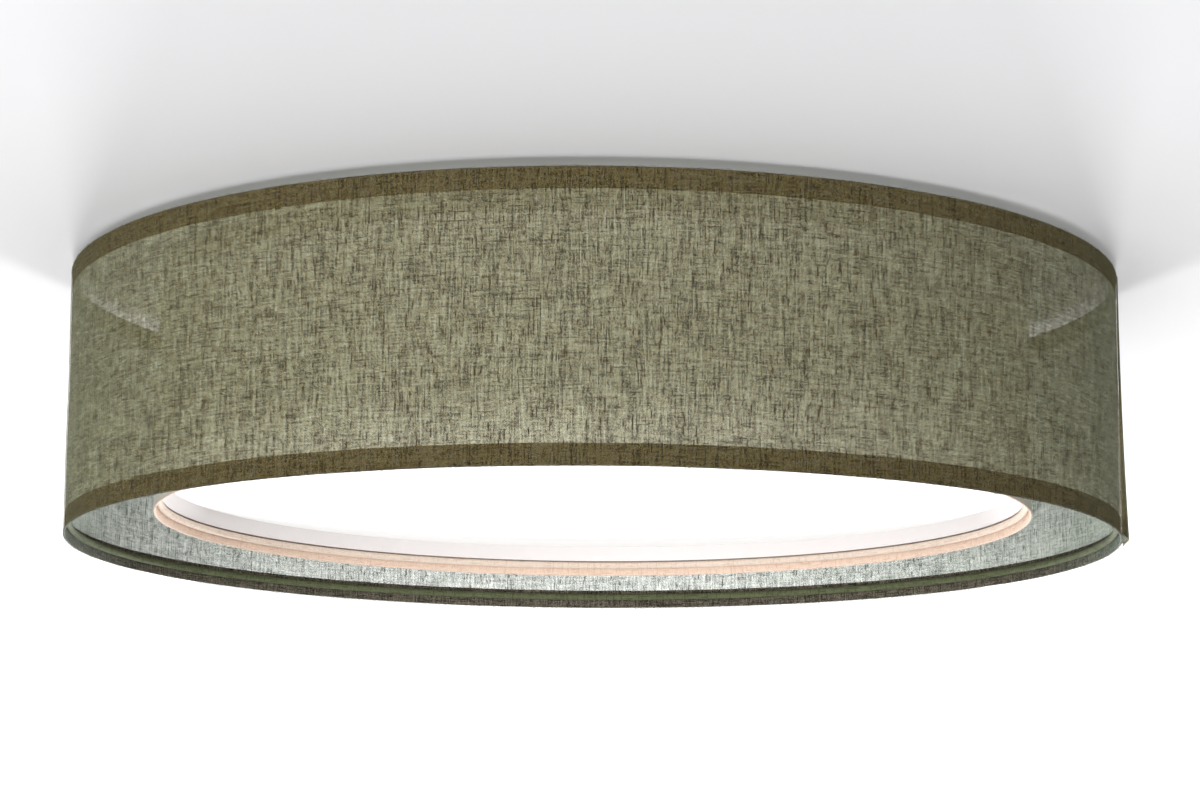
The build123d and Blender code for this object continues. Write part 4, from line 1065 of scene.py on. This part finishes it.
# ------------------------------------------------------------------ studio
@dataclass
class Studio:
    """Ceiling, floor, light and camera of the photograph's view."""

    lens: float = 101.107
    sensor: float = 36.0
    eye: Point = (0.0, -1.91587, -0.41237)
    pitch: float = 0.176835722
    yaw: float = 0.00194629234
    roll: float = 0.00572507144
    ambient: float = 0.38       # the world's brightness as it lights the room
    backdrop: float = 1.2       # the world's brightness as the camera sees it
    back_power: float = 110.0
    back_distance: float = 3.5
    back_spread: float = math.radians(15.0)
    back_height: float = -1.25
    back_size: tuple[float, float] = (0.45, 0.40)
    front_power: float = 64.0
    front_place: Point = (-0.8, -2.4, -2.1)
    front_size: tuple[float, float] = (2.2, 1.4)
    side_power: float = 54.0
    side_place: Point = (-0.9, -3.4, -0.45)
    side_size: tuple[float, float] = (1.4, 0.7)
    aim: Point = (0.0, 0.0, -0.1)
    ceiling_radius: float = 1.5
    floor_half: float = 6.0
    floor_height: float = -2.3

    def camera(self) -> None:
        """Places the camera where the photograph was taken."""
        ahead = Vector((math.sin(self.yaw) * math.cos(self.pitch),
                        math.cos(self.yaw) * math.cos(self.pitch), math.sin(self.pitch)))
        right = Vector((math.cos(self.yaw), -math.sin(self.yaw), 0.0))
        above = right.cross(ahead)
        across = right * math.cos(self.roll) + above * math.sin(self.roll)
        upward = above * math.cos(self.roll) - right * math.sin(self.roll)
        data = bpy.data.cameras.new("photo_view")
        data.lens = self.lens
        data.sensor_width = self.sensor
        data.sensor_fit = "HORIZONTAL"
        data.clip_start, data.clip_end = 0.01, 100.0
        turn = Matrix((across, upward, -ahead)).transposed().to_4x4()
        camera = bpy.data.objects.new("photo_view", data)
        camera.matrix_world = Matrix.Translation(self.eye) @ turn
        bpy.context.scene.collection.objects.link(camera)
        bpy.context.scene.camera = camera

    def plane(self, name: str, outline: Sequence[Point],
              finish: Material) -> Object:
        """Builds a flat piece of stage that faces the way its outline turns."""
        mesh = bpy.data.meshes.new(name)
        mesh.from_pydata(outline, [], [tuple(range(len(outline)))])
        mesh.materials.append(finish)
        piece = show(mesh, name)
        return piece

    def one_sided(self, name: str, colour: Colour) -> Material:
        """Returns a matt pale finish that is clear from behind."""
        material = bpy.data.materials.new(name)
        material.use_nodes = True
        wiring = Wiring(material.node_tree)
        shader = material.node_tree.nodes["Principled BSDF"]
        wiring.fill(shader, {"Base Color": (*colour, 1.0), "Roughness": 1.0,
                             "Specular IOR Level": 0.0})
        clear = wiring.add("ShaderNodeBsdfTransparent")
        behind = wiring.add("ShaderNodeNewGeometry").outputs["Backfacing"]
        mixed = wiring.add("ShaderNodeMixShader", {0: behind, 1: shader.outputs[0],
                                                   2: clear.outputs[0]})
        output = material.node_tree.nodes["Material Output"]
        wiring.feed(output.inputs["Surface"], mixed.outputs[0])
        return material

    def ceiling(self) -> None:
        """Builds the pale ceiling, seen from below and clear from above."""
        rim = circle_points(self.ceiling_radius, 0.4 * MM, 96)
        piece = self.plane("stage_ceiling", rim[::-1],
                           self.one_sided("stage_ceiling", srgb(219, 219, 221)))
        for rays in ("diffuse", "glossy", "transmission", "shadow"):
            setattr(piece, f"visible_{rays}", False)

    def floor(self) -> None:
        """Builds the pale floor far below, clear from underneath."""
        half, height = self.floor_half, self.floor_height
        self.plane("stage_floor", [(-half, -half, height), (half, -half, height),
                                   (half, half, height), (-half, half, height)],
                   self.one_sided("stage_floor", srgb(243, 243, 243)))

    def area_light(self, name: str, place: Point, size: tuple[float, float],
                   power: float) -> None:
        """Adds a soft rectangular light, aimed at the drums, that the camera doesn't see.

        Args:
            name: The light's name.
            place: Where it stands.
            size: Its width and height.
            power: Its power in watts.
        """
        light = bpy.data.lights.new(name, "AREA")
        light.shape = "RECTANGLE"
        light.size, light.size_y = size
        light.energy = power
        lamp = bpy.data.objects.new(name, light)
        turn = (Vector(self.aim) - Vector(place)).to_track_quat("-Z", "Y").to_matrix().to_4x4()
        lamp.matrix_world = Matrix.Translation(place) @ turn
        lamp.visible_camera = False
        bpy.context.scene.collection.objects.link(lamp)

    def lights(self) -> None:
        """Places two small lights behind, two soft ones in front and the pale world."""
        for name, side in (("back_light_left", -1), ("back_light_right", 1)):
            place = (side * self.back_distance * math.sin(self.back_spread),
                     self.back_distance * math.cos(self.back_spread), self.back_height)
            self.area_light(name, place, self.back_size, self.back_power)
        self.area_light("front_light", self.front_place, self.front_size, self.front_power)
        self.area_light("side_light", self.side_place, self.side_size, self.side_power)
        world = bpy.data.worlds.new("pale_world")
        world.use_nodes = True
        wiring = Wiring(world.node_tree)
        background = world.node_tree.nodes["Background"]
        background.inputs["Color"].default_value = (1.0, 1.0, 1.0, 1.0)
        seen = wiring.add("ShaderNodeLightPath").outputs["Is Camera Ray"]
        wiring.feed(background.inputs["Strength"],
                    wiring.math("MULTIPLY_ADD", seen, self.backdrop - self.ambient, self.ambient))
        bpy.context.scene.world = world

    def build(self) -> None:
        """Builds the whole studio."""
        self.camera()
        self.ceiling()
        self.floor()
        self.lights()
        scene = bpy.context.scene
        scene.view_settings.view_transform = "Standard"
        scene.cycles.transparent_max_bounces = 32


def main() -> None:
    """Builds the light's looks in order."""
    logging.basicConfig(level=logging.INFO, format="%(name)s: %(message)s")
    fringe = fringe_tree()
    # The outer drum's inside finish holds painted light, and its hem backs hold painted shade.
    ClothDrum("outer", OLIVE_LINEN, OLIVE_INSIDE_PAINTED_BACKLIGHT, OLIVE_HEM, OLIVE_HEM_BACK_PAINTED_SHADE, OLIVE_BEAD,
              OLIVE_LAP, OLIVE_FIBRE, "linen_cloth", yarn_ends=900, seam_flare=3.3 * MM,
              segments=432, lap_width=26.0 * MM, lap_drop=1.2 * MM).build(fringe)
    # The inner drum's outside and lap use the cloth with the painted yellow cast.
    ClothDrum("inner", IVORY_CLOTH_PAINTED_CAST, IVORY_INSIDE, IVORY_HEM, IVORY_HEM_BACK, IVORY_BEAD,
              IVORY_CLOTH_PAINTED_CAST, IVORY_FIBRE, "ivory_cloth", yarn_ends=300).build(fringe)
    ShadeCarrier().build()
    thread, ribs = thread_tree(), rib_tree()
    for number in (1, 2, 3):
        Lamp(number, thread, ribs).build()
    for node, finish in HARDWARE.items():
        dress_node(node, finish)
    Studio().build()


if __name__ == "__main__":
    main()
